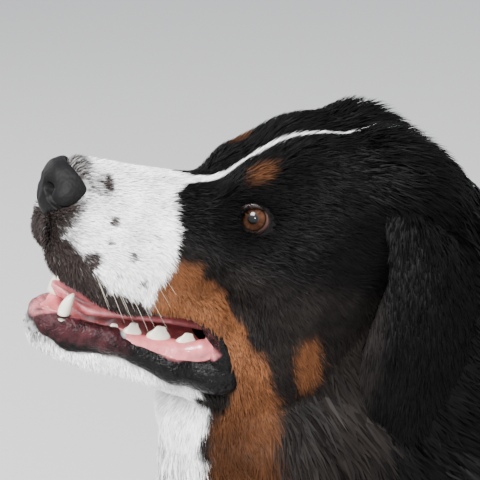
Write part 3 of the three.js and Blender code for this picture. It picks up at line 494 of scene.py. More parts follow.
@dataclass
class SkinGrid:
    """The skin's distance field on a grid that is fine at the head and coarse along the body."""

    anatomy: Anatomy
    fine: float = 2.3
    coarse: float = 7.4
    flank: float = 7.0
    outside: float = 90.0

    def __post_init__(self) -> None:
        """Samples each form only near itself."""
        self.axes = (
            self._axis([(-196, self.flank), (-74, self.fine), (74, self.flank), (196, self.flank)]),
            self._axis([(-634, self.fine), (-384, self.coarse), (560, self.coarse)]),
            self._axis([(-8, self.coarse), (640, self.fine), (876, self.fine)]),
        )
        self.values = np.full(tuple(len(axis) for axis in self.axes), self.outside, np.float32)
        for form, low, high, k in (
            (self.anatomy.trunk, (-160, -470, 290), (160, 410, 700), 50),
            (self.anatomy.neck, (-160, -560, 360), (160, -80, 860), 50),
            (self.anatomy.fore_leg, (-190, -430, -10), (190, -130, 640), 24),
            (self.anatomy.hind_leg, (-190, 90, -10), (190, 440, 640), 24),
            (self.anatomy.tail, (-90, 250, 180), (90, 562, 640), 20),
            (self.anatomy.head, (-110, -640, 600), (110, -300, 880), 24),
        ):
            self._lay(form, low, high, k)

    @staticmethod
    def _axis(stations: Sequence[tuple[float, float]]) -> Array:
        """Grid places: from each station on, even steps of about its size."""
        places = [stations[0][0]]
        for (start, step), (end, _) in zip(stations, stations[1:]):
            count = max(1, round((end - start) / step))
            places.extend(np.linspace(start, end, count + 1)[1:])
        return np.array(places)

    def _lay(self, form: Field, low: Sequence[float], high: Sequence[float], k: float) -> None:
        """Blends one form into the grid within its box."""
        cut = []
        for axis, first, last in zip(self.axes, low, high):
            i, j = int(np.searchsorted(axis, first)), int(np.searchsorted(axis, last, side="right"))
            cut.append(slice(max(0, i), min(len(axis), j)))
        xs, ys, zs = (axis[c] for axis, c in zip(self.axes, cut))
        for i, x in enumerate(xs):
            grid = np.stack(np.meshgrid([x], ys, zs, indexing="ij"), -1)
            at = (slice(cut[0].start + i, cut[0].start + i + 1), cut[1], cut[2])
            self.values[at] = blend(self.values[at], form(grid), k)

    def distance(self, p: Array) -> Array:
        """Field value at any points, read between grid places."""
        index, part = [], []
        for axis, column in zip(self.axes, np.moveaxis(p, -1, 0)):
            place = np.interp(column, axis, np.arange(len(axis)))
            low = np.clip(place.astype(int), 0, len(axis) - 2)
            index.append(low)
            part.append(place - low)
        total = np.zeros(p.shape[:-1])
        for corner in product((0, 1), repeat=3):
            x, y, z = (share if step else 1 - share for share, step in zip(part, corner))
            total += x * y * z * self.values[tuple(low + step for low, step in zip(index, corner))]
        return total

    def outward(self, p: Array, reach: float = 3.0) -> Array:
        """Directions straight out of the skin."""
        slope = [self.distance(p + step) - self.distance(p - step) for step in np.eye(3) * reach]
        return unit(np.stack(slope, -1))

    def surface(self) -> tuple[Array, Array]:
        """Points and quads of the skin, by surface nets.

        Returns:
            Points in millimetres and quads as rows of four indices.
        """
        points, faces = surface_nets(self.values, self.axes)
        for _ in range(2):
            points -= self.outward(points, 1.5) * self.distance(points)[:, None] * 0.8
        return points, faces


# Markings


@dataclass(frozen=True)
class Palette:
    """Colours of coat and bare skin, as linear light."""

    black: Colour = (0.0024, 0.0022, 0.0022)
    # Painted sheen: pale brownish black for cheeks and ruff, with the ruff's own brownish tinge
    sheen_and_faded: Colour = (0.024, 0.0195, 0.0175)
    rust: Colour = (0.142, 0.055, 0.023)
    dusk: Colour = (0.028, 0.021, 0.019)
    white: Colour = (0.92, 0.912, 0.90)
    mouth: Colour = (0.26, 0.055, 0.055)
    lip: Colour = (0.012, 0.011, 0.012)


@dataclass(frozen=True)
class Markings:
    """Tricolour pattern, with painted sheen on the cheeks and over the ruff, from the place on the dog alone.

    Its methods take `q`, points of the head's frame, `m`, the same folded onto the left, `p`, points of the
    dog's layout, and `ragged`, the raggedness of an edge in millimetres. Each gives a share from 0 to 1.
    Freckles are rows of place ahead and up, radius and depth.
    """

    palette: Palette
    freckles: Table = (
        (97, 13, 4.2, 0.9), (93, -4, 3.6, 0.85), (93, -17, 2.2, 0.7), (101, -29, 5.2, 0.9),
        (78, -22, 3.2, 0.75), (64, -10, 2.2, 0.45), (63, 7, 2.4, 0.4), (67, -35, 3.2, 0.75),
        (84, -33, 1.8, 0.5),
    )

    def colour(self, p: Array) -> Array:
        """Coat colour at points of the dog's layout."""
        q = to_head(p)
        m = folded(q)
        ragged = 3.0 * wave(p, 19, 1.0) + 1.6 * wave(p, 7, 2.0)
        head = ramp(q[..., 2] + 0.55 * q[..., 0], -215, -195) * ramp(p[..., 2], 560, 580)
        rust = np.array(self.palette.rust) * self._rust_shade(m, p, head)[..., None]
        white = self._head_white(m, q, ragged) * head
        grain = 0.16 * wave(p, 2.3, 3.0) + 0.16 * wave(p, 1.1, 5.0)
        colour = np.broadcast_to(np.array(self.palette.black), p.shape)
        for share, tone in (
            # Painted sheen: black made paler on the cheeks and over the ruff
            (self._sheen_and_faded(m, p, head), np.array(self.palette.sheen_and_faded)),
            (self._leg_rust(p, ragged) * (1 - head), rust),
            (self._head_rust(m, q, ragged) * head, rust),
            (self._body_white(p, ragged) * (1 - head), np.array(self.palette.white)),
            (white, np.array(self.palette.white)),
            (white * ramp(self._dusk(m, q) + grain, 0.15, 0.9), np.array(self.palette.dusk)),
        ):
            colour = mix(colour, tone, np.clip(share, 0, 1)[..., None])
        return colour

    @staticmethod
    def _sheen_and_faded(m: Array, p: Array, head: Array) -> Array:
        """Black hair painted paler: painted sheen on the cheeks, and painted sheen with the hair's own
        brownish tinge over the ruff.
        """
        a, l, u = m[..., 0], m[..., 1], m[..., 2]
        cheek = 0.5 * head * ramp(l, 28, 40) * ramp(u, 0, -25) * ramp(a, -95, -75)
        ruff = (1 - head) * ramp(p[..., 1], -300, -360) * ramp(p[..., 2], 590, 640)
        return np.maximum(cheek, ruff * 0.8) * (0.75 + 0.4 * wave(p, 31, 6.0))

    @staticmethod
    def _rust_shade(m: Array, p: Array, head: Array) -> Array:
        """Brightness of the rust: darker over the eyes, behind the cheek and down the throat."""
        a, u = m[..., 0], m[..., 2]
        shade = 1 + 0.14 * wave(p, 23, 7.0)
        shade = shade * mix(1.0, 0.42, head * ramp(u, -100, -142)) * mix(1.0, 0.72, head * ramp(u, -72, -104))
        shade = shade * mix(1.0, 0.46, head * ramp(u, 8, 16))
        shade = shade * mix(1.0, 0.62, head * ramp(a, -28, -36) * ramp(u, -98, -86))
        return shade * mix(1.0, 0.8, head * ramp(u, -50, -30) * ramp(a, 10, 24))

    @staticmethod
    def _head_white(m: Array, q: Array, ragged: Array) -> Array:
        """Muzzle, blaze, chin and throat."""
        a, l, u = m[..., 0], m[..., 1], m[..., 2]
        edge = np.interp(u, [-128, -100, -90, -54, -40, -29, -17, -4, 10, 23, 30],
                         [8, 6, 20, 58, 58, 54, 51, 52, 55, 54, 48])
        muzzle = ramp(a - edge + ragged * 0.5, -2.0, 2.0) * ramp(u, -146, -134)
        half = np.interp(a, [-94, -86, -74, -55, -40, -18, 13, 37, 46, 56],
                         [0.0, 1.2, 1.9, 2.2, 2.2, 1.7, 2.8, 5.4, 9.5, 22.0])
        middle = np.interp(a, [-120, -95, -75, -55, -35, -15], [38, 24, 11, 6, 2, 0])
        blaze = ramp(half - np.abs(q[..., 1] - middle), -0.9, 0.7) * ramp(u, 4, 10) * ramp(a, -97, -88)
        width = np.interp(u, [-150, -125], [1.0, 0.75]) * np.where(q[..., 1] > 0, 43, 50)
        throat = ramp(width + ragged - l, -3, 3) * ramp(u, -112, -124) * ramp(a, -80, -60)
        return np.maximum.reduce([muzzle, blaze, throat])

    def _dusk(self, m: Array, q: Array) -> Array:
        """Dark part of the muzzle: the band over the upper lip, the smear by the nose, freckles and chin."""
        a, l, u = m[..., 0], m[..., 1], m[..., 2]
        top = np.interp(a, [40, 51, 64, 77, 92, 103, 113, 122], [-55, -51, -49, -46, -41, -27, -23, -18])
        band = ramp(top + 2.5 * wave(q, 9, 1.0) - u, -4, 4) * ramp(a, 42, 60) * ramp(u, -80, -72)
        reach = 1.0 - np.hypot((a - 101) / 8, (u - 11) / 6)
        smear = 0.62 * ramp(reach + 0.3 * wave(q, 8, 4.0), -0.4, 0.5) * ramp(l, 8, 14)
        front = np.interp(u, [-40, -30, -19, -8, 4, 14], [121, 121, 119, 115, 110, 107])
        rim = ramp(a - front, -9, 4) * ramp(u, 20, 10) * ramp(q[..., 1], -14, -10)
        below = 0.55 * ramp(a, 103, 116) * ramp(u, -34, -26)
        above = 0.75 * ramp(a, 98, 111) * ramp(u, 6, 12)
        chin = 0.6 * ramp(-100 + 3.5 * wave(q, 8, 2.0) - u, 4, -6) * ramp(u, -82, -84) * ramp(a, 78, 90)
        dark = np.maximum.reduce([band, smear, below, above, rim, chin])
        for ahead, up, radius, depth in self.freckles:
            gap = np.hypot(a - ahead, u - up)
            dark = np.maximum(dark, depth * ramp(gap, radius * 1.35, radius * 0.5) * ramp(l, 8, 14))
        return dark

    @staticmethod
    def _head_rust(m: Array, q: Array, ragged: Array) -> Array:
        """Spots over the eyes and the cheeks."""
        a, l, u = m[..., 0], m[..., 1], m[..., 2]
        near = q[..., 1] > 0
        gap = np.hypot(a - np.where(near, 3.2, 0), (l - np.where(near, 24, 31)) * 0.9)
        brow = ramp(6.7 + ragged * 0.3 - gap, -2.5, 2.5) * ramp(u, 16, 22)
        back = np.interp(u, [-161, -136, -105, -78, -63, -50, -38, -30, -20],
                         [-44, -45, -40, -25, -13, -2, 11, 21, 34])
        front = np.interp(u, [-175, -146, -127, -105, -85, -70, -62, -58, -50],
                          [-13, -10, -12, -11, -6, 5, 17, 36, 80])
        cheek = ramp(a - back + ragged * 1.2, -5, 5) * ramp(front - a + ragged * 0.6, -3, 3)
        cheek = cheek * ramp(u, -15, -22) * ramp(l, 20, 28)
        second = 1.0 - np.hypot((a + 44 - (u + 63) * 0.25) / 9.5, (u + 63) / 20)
        second = ramp(second + ragged * 0.03, -0.25, 0.3)
        return np.maximum.reduce([brow, cheek, second * ramp(l, 30, 38)])

    @staticmethod
    def _body_white(p: Array, ragged: Array) -> Array:
        """Chest, toes and tail tip."""
        x, y, z = np.abs(p[..., 0]), p[..., 1], p[..., 2]
        half = np.interp(z, [330, 380, 470, 560, 640, 700], [0, 34, 66, 62, 55, 46])
        front = np.interp(z, [560, 620], [-325.0, -450.0])
        chest = ramp(half + ragged * 2 - x, -5, 5) * ramp(front - y, -30, 30) * ramp(z, 340, 380)
        toes = ramp(62 + ragged * 3 - z, -6, 6)
        tail = ramp(262 + ragged * 3 - z, -8, 8) * ramp(y, 400, 420)
        return np.maximum.reduce([chest, toes, tail])

    @staticmethod
    def _leg_rust(p: Array, ragged: Array) -> Array:
        """Legs and the patches beside the breast."""
        x, y, z = np.abs(p[..., 0]), p[..., 1], p[..., 2]
        fore = ramp(225 + ragged * 4 - z, -10, 10) * ramp(y, -120, -160)
        inner = ramp(330 - z + ragged * 3, -10, 10) * ramp(y, -120, -160) * ramp(96 - x, -8, 8)
        hind = ramp(215 + ragged * 4 - z, -10, 10) * ramp(y, 100, 140)
        front = ramp(330 - z + ragged * 3, -12, 12) * ramp(262 - y, -12, 12) * ramp(y, 110, 140)
        breast = 1.0 - np.hypot((x - 92) / 34, (z - 452) / 62)
        breast = ramp(breast + ragged * 0.03, -0.2, 0.2) * ramp(y, -300, -350)
        return np.maximum.reduce([fore, inner, hind, front, breast])


# Meshes


def surface_nets(values: Array, axes: Sequence[Array]) -> tuple[Array, Array]:
    """Closed surface of a sampled field.

    Args:
        values: Field on the grid, below zero inside.
        axes: Places of the grid along each axis.

    Returns:
        Points and quads that face outwards.
    """
    inside = values < 0
    cells = tuple(n - 1 for n in values.shape)
    keys, points, quads = [], [], []
    for axis in range(3):
        low = [slice(None)] * 3
        high = [slice(None)] * 3
        low[axis], high[axis] = slice(0, -1), slice(1, None)
        edge = np.argwhere(inside[tuple(low)] != inside[tuple(high)])
        ahead = edge.copy()
        ahead[:, axis] += 1
        a, b = values[tuple(edge.T)], values[tuple(ahead.T)]
        place = edge.astype(float)
        place[:, axis] += a / (a - b)
        first, second = [i for i in range(3) if i != axis]
        around = []
        for d1, d2 in ((0, 0), (-1, 0), (-1, -1), (0, -1)):
            cell = edge.copy()
            cell[:, first] += d1
            cell[:, second] += d2
            around.append(np.ravel_multi_index(tuple(cell.T), cells))
            keys.append(around[-1])
            points.append(place)
        quad = np.stack(around, -1)
        flip = inside[tuple(edge.T)] == (axis == 1)
        quad[flip] = quad[flip][:, ::-1]
        quads.append(quad)
    names, which = np.unique(np.concatenate(keys), return_inverse=True)
    place = np.concatenate(points)
    count = np.bincount(which).astype(float)
    centre = np.stack([np.bincount(which, place[:, i]) / count for i in range(3)], -1)
    spots = np.stack([np.interp(centre[:, i], np.arange(len(axes[i])), axes[i]) for i in range(3)], -1)
    return spots, np.searchsorted(names, np.concatenate(quads))


def sampled(form: Field, low: Sequence[float], high: Sequence[float], step: float) -> tuple[Array, Array]:
    """Surface of a small form on an even grid.

    Args:
        form: Field in the frame of the box.
        low: Lowest corner.
        high: Highest corner.
        step: Grid step.

    Returns:
        Points in the frame of the box, and quads.
    """
    axes = [np.arange(a, b + step, step) for a, b in zip(low, high)]
    values = form(np.stack(np.meshgrid(*axes, indexing="ij"), -1))
    return surface_nets(values, axes)


def placed(name: str, data: bpy.types.ID) -> Piece:
    """New object in the scene, with its mesh, lamp or camera."""
    piece = bpy.data.objects.new(name, data)
    bpy.context.scene.collection.objects.link(piece)
    return piece


def mesh_object(name: str, points: Array, faces: Sequence[Sequence[int]], turned: bool = False) -> Piece:
    """New smooth object from millimetre points and faces.

    Args:
        name: Name of the piece.
        points: Points of the dog's layout.
        faces: Rows of point indices.
        turned: Whether the faces still have to be turned outwards.

    Returns:
        The object, with its place in its mesh.
    """
    mesh = bpy.data.meshes.new(name)
    mesh.from_pydata(metres(points).tolist(), [], [list(map(int, face)) for face in faces])
    mesh.update()
    mesh.polygons.foreach_set("use_smooth", [True] * len(mesh.polygons))
    piece = placed(name, mesh)
    if turned:
        bpy.ops.object.select_all(action="DESELECT")
        piece.select_set(True)
        bpy.context.view_layer.objects.active = piece
        bpy.ops.object.mode_set(mode="EDIT")
        bpy.ops.mesh.select_all(action="SELECT")
        bpy.ops.mesh.normals_make_consistent(inside=False)
        bpy.ops.object.mode_set(mode="OBJECT")
    return piece


def paint(piece: Piece, colours: Array) -> None:
    """Stores a colour for each point of the piece, as its Coat attribute."""
    attribute = piece.data.color_attributes.new(name="Coat", type="FLOAT_COLOR", domain="POINT")
    rgba = np.ones((len(colours), 4), np.float32)
    rgba[:, :3] = colours
    attribute.data.foreach_set("color", rgba.ravel())


def loft(rings: Sequence[Array], start: Array, end: Array) -> Surface:
    """Closed surface through rings of points, with a pole at each end."""
    sides = len(rings[0])
    points = np.concatenate([np.concatenate(rings), [start], [end]])
    first, last = len(points) - 2, len(points) - 1
    faces = []
    for r, k in product(range(len(rings)), range(sides)):
        a, b = r * sides + k, r * sides + (k + 1) % sides
        if r == 0:
            faces.append([first, b, a])
        if r < len(rings) - 1:
            faces.append([a, b, b + sides, a + sides])
        else:
            faces.append([last, a, b])
    return points, faces


def smooth_line(points: Sequence[Sequence[float]], count: int) -> Array:
    """Catmull-Rom line through points, read at even places."""
    p = np.asarray(points, float)
    p = np.concatenate([[2 * p[0] - p[1]], p, [2 * p[-1] - p[-2]]])
    t = np.linspace(0, len(p) - 3 - 1e-9, count)
    i = t.astype(int)
    f = (t - i)[:, None]
    a, b, c, d = p[i], p[i + 1], p[i + 2], p[i + 3]
    return 0.5 * (2 * b + (c - a) * f + (2 * a - 5 * b + 4 * c - d) * f**2 + (3 * b - a - 3 * c + d) * f**3)


def bar(line: Sequence[Sequence[float]], radii: Sequence[float], sides: int, steps: int,
        flat: float = 1.0) -> Surface:
    """Round bar along a line in the head's frame, with a radius at each of its places.

    Args:
        line: Points of the head's frame.
        radii: Radii spread evenly along the line.
        sides: Corners of the section.
        steps: Rings along the bar.
        flat: Second radius as a share of the first.

    Returns:
        Points of the dog's layout, and faces.
    """
    centres = smooth_line(line, steps)
    along = unit(np.gradient(centres, axis=0))
    side = unit(np.cross(along, np.array([0.0, 0.0, 1.0])))
    up = np.cross(side, along)
    sizes = np.interp(np.linspace(0, 1, steps), np.linspace(0, 1, len(radii)), radii)
    turn = np.linspace(0, 2 * math.pi, sides, endpoint=False)
    rings = [
        c + s * (np.cos(turn)[:, None] * a + flat * np.sin(turn)[:, None] * b)
        for c, s, a, b in zip(centres, sizes, side, up)
    ]
    dome = 0.7
    start = centres[0] - along[0] * sizes[0] * dome
    end = centres[-1] + along[-1] * sizes[-1] * dome
    points, faces = loft(rings, start, end)
    return from_head(points), faces


def gathered(parts: Sequence[Surface]) -> Surface:
    """Several surfaces as one list of points and faces."""
    points, faces, start = [], [], 0
    for spots, sides in parts:
        points.append(spots)
        faces.extend([[int(i) + start for i in face] for face in sides])
        start += len(spots)
    return np.concatenate(points), faces


# Coat


@dataclass(frozen=True)
class Growth:
    """How the hair of a place grows: its length, width and lie."""

    depths: CoatDepths

    def head_share(self, p: Array) -> Array:
        """1 on the face, 0 where the neck's long coat starts."""
        q = to_head(p)
        back = -104 - 0.42 * (q[..., 2] - 10)
        return ramp(q[..., 0] - back, -14, 14) * ramp(q[..., 2] + 0.6 * q[..., 0], -190, -165)

    def depth(self, p: Array) -> Array:
        """Height of the tips over the skin."""
        body = self.depths.on_body(p) - UNDERFUR * breast_swell(p)
        return mix(body, self.depths.on_head(to_head(p)), self.head_share(p))

    def length(self, p: Array) -> Array:
        """Length of a hair."""
        q = to_head(p)
        body = self.depths.on_body(p)
        long = np.interp(body, [5, 9, 22, 31, 42, 48], [9, 17, 46, 66, 88, 100])
        face = np.interp(q[..., 0], [-150, -100, -60, -20, 10, 40, 100, 130], [40, 30, 20, 14, 11, 9, 6, 4])
        low = ramp(q[..., 2], -40, -56) * ramp(q[..., 0], -26, -6) * ramp(q[..., 2], -125, -112)
        return mix(long, face * (1 - 0.45 * low), self.head_share(p))

    def width(self, p: Array) -> Array:
        """Width of a tuft at its widest."""
        q = to_head(p)
        body = np.interp(self.depths.on_body(p), [5, 9, 22, 31, 42, 48], [1.4, 1.9, 1.9, 3.6, 1.7, 2.1])
        face = np.interp(q[..., 0], [-150, -100, -60, 0, 60, 130], [2.0, 1.3, 1.0, 0.85, 0.75, 0.6])
        return mix(body, face, self.head_share(p))

    def stray(self, p: Array) -> Array:
        """How freely the hair strays from its lie: least along the middle of the head."""
        l = np.abs(to_head(p)[..., 1])
        return mix(1.0, 0.2, self.head_share(p) * ramp(l, 15, 7))

    def lie(self, p: Array) -> Array:
        """Direction in which the hair lies, before it is pressed to the skin."""
        share = self.head_share(p)[..., None]
        return unit(mix(self._body_lie(p), self._head_lie(p), share))

    def _head_lie(self, p: Array) -> Array:
        """Lie on the head: back from the nose, down over the lips and away from the eyes."""
        q = to_head(p)
        a, l, u = q[..., 0], q[..., 1], q[..., 2]
        side = np.clip(l / 40, -1, 1)
        low = ramp(u, 10, -50)
        flow = np.stack([-1.0 + 0.35 * low, 0.28 * side, -0.1 - 0.75 * low * ramp(a, 110, 10)], -1)
        lip = ramp(u, -22, -48)[..., None] * ramp(a, -20, 20)[..., None]
        flow = mix(flow, np.stack([-0.55 + 0 * a, 0.12 * np.sign(l), -0.85 + 0 * a], -1), lip * 0.8)
        away = folded(q) - EYE
        close = np.exp(-(np.linalg.norm(away, axis=-1) / 21) ** 4)[..., None]
        away = unit(away) * np.stack([np.ones_like(a), np.sign(l) + (l == 0), np.ones_like(a)], -1)
        return unit(turn_from_head(unit(flow) + 1.1 * close * away))

    def _body_lie(self, p: Array) -> Array:
        """Lie on the body: back along the trunk and down neck, breast, rump, legs and tail."""
        x, y, z = p[..., 0], p[..., 1], p[..., 2]
        flank = np.minimum(1, np.abs(x) / 110)
        zero = np.zeros_like(x)
        back = np.stack([x * 0.0006, 0.92 + zero, -0.12 - 0.5 * flank], -1)
        neck = np.stack([x * 0.0012, mix(0.12, 0.72, ramp(y, -520, -360)), -0.8 + zero], -1)
        chest = np.stack([x * 0.002, mix(0.1, 0.75, ramp(y, -470, -330)), -0.95 + zero], -1)
        rump = np.stack([zero, mix(0.9, 0.3, ramp(y, 250, 360)), mix(-0.3, -0.95, ramp(y, 200, 340))], -1)
        leg = np.stack([zero, 0.22 + zero, -1.0 + zero], -1)
        paw = np.stack([zero, -0.85 + zero, -0.5 + zero], -1)
        tail = np.stack([zero, mix(0.12, 0.5, ramp(z, 380, 500)), -0.9 + zero], -1)
        flow = mix(back, rump, ramp(y, 170, 230)[..., None])
        flow = mix(flow, neck, (ramp(y, -250, -320) * ramp(z, 520, 600))[..., None])
        flow = mix(flow, chest, (ramp(y, -330, -390) * ramp(z, 600, 540))[..., None])
        before_tail = 1 - ramp(y, 385, 400)[..., None]
        flow = mix(flow, leg, ramp(z, 350, 300)[..., None] * before_tail)
        flow = mix(flow, paw, ramp(z, 70, 50)[..., None] * before_tail)
        return mix(flow, tail, ramp(y, 385, 405)[..., None])


@dataclass(frozen=True)
class CoatPatch:
    """One piece of the coat.

    Args:
        name: Name of the piece.
        where: Share of hairs that a place takes, from 0 to 1.
        count: Number of tufts.
        points: Points along a tuft.
        clump: How far hairs draw together into locks.
        clump_size: Hairs in a lock.
        unruly: How far hairs stray from the lie.
    """

    name: str
    where: Field
    count: int
    points: int
    clump: float
    clump_size: int
    unruly: float


@dataclass
class Coat:
    """Grows tufts of hair over the skin and makes their meshes."""

    grid: SkinGrid
    growth: Growth
    markings: Markings
    skin: tuple[Array, Array]
    sunk: float = 1.2
    gap: float = 2.0
    floor: float = 1.0
    rounded_from: float = 138.0

    def __post_init__(self) -> None:
        """Keeps the skin's triangles, from which all roots are drawn."""
        points, quads = self.skin
        self.corners = points[np.concatenate([quads[:, [0, 1, 2]], quads[:, [0, 2, 3]]])]
        edge = np.cross(self.corners[:, 1] - self.corners[:, 0], self.corners[:, 2] - self.corners[:, 0])
        self.areas = np.linalg.norm(edge, axis=-1) / 2
        self.centres = self.corners.mean(1)

    def roots(self, patch: CoatPatch, bare: Field, chance: Chance) -> Array:
        """Even scatter of roots over a patch."""
        weight = self.areas * patch.where(self.centres) * bare(self.centres)
        return scatter(self.corners, weight, patch.count, chance)[0]

    def grow(self, root: Array, patch: CoatPatch, chance: Chance) -> tuple[Array, Array]:
        """Strands that follow the lie of the coat over the skin.

        Args:
            root: Roots on the skin.
            patch: The piece of the coat.
            chance: Random source.

        Returns:
            Points of each strand and the skin's outward direction at them.
        """
        n = len(root)
        length = self.growth.length(root) * chance.uniform(0.8, 1.12, n)
        low = 0.75 - 0.35 * breast_swell(root)
        rise = self.growth.depth(root) * (1 - low * chance.random(n) ** 1.4)
        stray = chance.normal(0, patch.unruly, n) + 0.2 * wave(root, 46, 3.0) + 0.12 * wave(root, 17, 5.0)
        stray = stray * self.growth.stray(root)
        places = np.linspace(0, 1, patch.points)
        p = root - self.grid.outward(root) * self.sunk
        strands, normals = [p], [self.grid.outward(p)]
        for before, now in zip(places, places[1:]):
            normal = self.grid.outward(p)
            lie = self.growth.lie(p)
            along = unit(lie - normal * np.sum(lie * normal, -1, keepdims=True))
            across = np.cross(normal, along)
            bend = (stray * (0.6 + now))[:, None]
            p = p + unit(along + across * bend) * (length * (now - before))[:, None]
            height = (rise + self.sunk) * np.sin(np.minimum(1, now * 1.12) * math.pi / 2) - self.sunk
            fresh = self.grid.outward(p)
            p = p + fresh * (height - self.grid.distance(p))[:, None]
            strands.append(p)
            normals.append(fresh)
        return np.stack(strands, 1), np.stack(normals, 1)

    def gather(self, strands: Array, clump: float, size: int, chance: Chance) -> Array:
        """Draws neighbouring hairs together towards their tips.

        Args:
            strands: Points, by strand and place.
            clump: How far the tips draw together, from 0 to 1.
            size: Hairs in a lock.
            chance: Random source.
        """
        n = len(strands)
        middle = strands[:, strands.shape[1] // 2]
        heads = chance.choice(n, n // size, replace=False)
        tree = KDTree(len(heads))
        for i, spot in enumerate(middle[heads]):
            tree.insert(spot, i)
        tree.balance()
        owner = heads[[tree.find(spot)[1] for spot in middle]]
        t = np.linspace(0, 1, strands.shape[1])
        pull = (clump * t**1.3)[None, :, None] * chance.uniform(0.5, 1.0, n)[:, None, None]
        return strands + (strands[owner] - strands) * pull

    def settle(self, strands: Array) -> Array:
        """Keeps hairs over the floor and inside the model's box, eased in at its sides."""
        shift = np.array([0.0, CENTRE_SHIFT, 0.0])
        low, high = (np.asarray(corner, float) * 1000.0 - shift for corner in CAD_BOX)
        low, high = low + self.gap, high - self.gap
        low[2] = self.floor
        x = strands[..., 0]
        over = np.maximum(np.abs(x) - self.rounded_from, 0.0)
        room = high[0] - self.rounded_from
        rounded = np.sign(x) * (np.minimum(np.abs(x), self.rounded_from) + room * (1 - np.exp(-over / room)))
        return np.clip(np.concatenate([rounded[..., None], strands[..., 1:]], -1), low, high)

    def mesh(self, name: str, strands: Array, normals: Array, width: Array, colour: Array,
             chance: Chance) -> Piece:
        """Tapered blades along strands, with their colour, darker towards the root as painted shade and
        lighter towards the tip as painted light, and their place on the unwrap.

        Args:
            name: Name of the piece.
            strands: Points, by strand and place.
            normals: Outward directions at them.
            width: Widest measure of each strand.
            colour: Colour of each strand.
            chance: Random source.
        """
        n, k, _ = strands.shape
        along = unit(np.gradient(strands, axis=1))
        across = unit(np.cross(along, normals))
        turn = chance.normal(0, 0.35, n)[:, None, None]
        across = across * np.cos(turn) + np.cross(along, across) * np.sin(turn)
        t = np.linspace(0, 1, k)
        shape = np.interp(t, [0, 0.35, 0.7, 1], [0.8, 1.0, 0.72, 0.0])
        half = (width[:, None] * shape[None, :])[..., None] / 2
        left, right = strands - across * half, strands + across * half
        body = np.stack([left[:, :-1], right[:, :-1]], 2).reshape(n, 2 * (k - 1), 3)
        points = np.concatenate([body, strands[:, -1:]], 1).reshape(-1, 3)
        per = 2 * (k - 1) + 1
        start = (np.arange(n) * per)[:, None]
        loops, sizes = [], []
        for j in range(k - 2):
            loops.append(start + np.array([2 * j, 2 * j + 1, 2 * j + 3, 2 * j + 2]))
            sizes.append(4)
        loops.append(start + np.array([2 * k - 4, 2 * k - 3, 2 * k - 2]))
        sizes.append(3)
        loop = np.concatenate(loops, 1).ravel()
        totals = np.tile(sizes, n)
        mesh = bpy.data.meshes.new(name)
        mesh.vertices.add(len(points))
        mesh.vertices.foreach_set("co", metres(points).ravel())
        mesh.loops.add(len(loop))
        mesh.loops.foreach_set("vertex_index", loop)
        mesh.polygons.add(len(totals))
        mesh.polygons.foreach_set("loop_start", np.concatenate([[0], np.cumsum(totals)[:-1]]))
        mesh.polygons.foreach_set("use_smooth", np.ones(len(totals), bool))
        mesh.update(calc_edges=True)
        piece = placed(name, mesh)
        # Painted shade and light: each strand darker at the root, deep in the coat, and lighter at the tip
        shade = np.interp(t, [0, 0.5, 1], [0.62, 0.95, 1.12])
        tint = colour * chance.normal(1.0, 0.13, (n, 1)).clip(0.6, 1.5)
        rows = tint[:, None, :] * np.concatenate([np.repeat(shade[:-1], 2), shade[-1:]])[None, :, None]
        paint(piece, rows.reshape(-1, 3))
        self._unwrap(mesh, strands, loop)
        return piece

    @staticmethod
    def _unwrap(mesh: bpy.types.Mesh, strands: Array, loop: Array) -> None:
        """Gives each tuft a small patch of the map, at its root's place on the unwrapped skin."""
        k = strands.shape[1]
        centre = skin_chart(strands[:, 0])
        across = np.concatenate([np.tile([-0.5, 0.5], k - 1), [0.0]])
        along = np.concatenate([np.repeat(np.linspace(-0.5, 0.5, k)[:-1], 2), [0.5]])
        size = 0.003
        corner = np.stack([across, along], -1) * size
        spots = (centre[:, None, :] + corner[None]).reshape(-1, 2)
        layer = mesh.uv_layers.new(name="OFBake")
        layer.data.foreach_set("uv", spots[loop].ravel())


def skin_chart(p: Array) -> Array:
    """Place on an unwrap of the skin: head, trunk, tail and each leg unrolled about its own length."""
    q = to_head(p)
    x, y, z = p[..., 0], p[..., 1], p[..., 2]
    head = (q[..., 0] > -110) & (q[..., 2] > -140) & (z > 600)
    tail = (y > TAIL_START) & ~head
    leg = (z < 330) & ~tail & ~head
    turn = np.arctan2(x, z - 490) / (2 * math.pi) + 0.5
    u = 0.02 + 0.5 * turn
    v = 0.02 + 0.44 * (y + 560) / 960
    head_turn = np.arctan2(q[..., 1], q[..., 2] + 30) / (2 * math.pi) + 0.5
    u = np.where(head, 0.02 + 0.5 * head_turn, u)
    v = np.where(head, 0.5 + 0.46 * (q[..., 0] + 140) / 290, v)
    tail_turn = np.arctan2(x, y - 480) / (2 * math.pi) + 0.5
    u = np.where(tail, 0.55 + 0.2 * tail_turn, u)
    v = np.where(tail, 0.02 + 0.44 * (z - 190) / 460, v)
    fore = y < 0
    centre_y = np.where(fore, -272, np.interp(z, [0, 60, 172, 300, 380], [310, 322, 340, 240, 215]))
    leg_turn = np.arctan2(np.abs(x) - 90, y - centre_y) / (2 * math.pi) + 0.5
    column = np.where(fore, 0, 1) + np.where(x > 0, 0, 2)
    u = np.where(leg, 0.55 + 0.11 * column + 0.1 * leg_turn, u)
    v = np.where(leg, 0.52 + 0.44 * z / 330, v)
    return np.stack([u, v], -1).clip(0.003, 0.997)


# Finishes


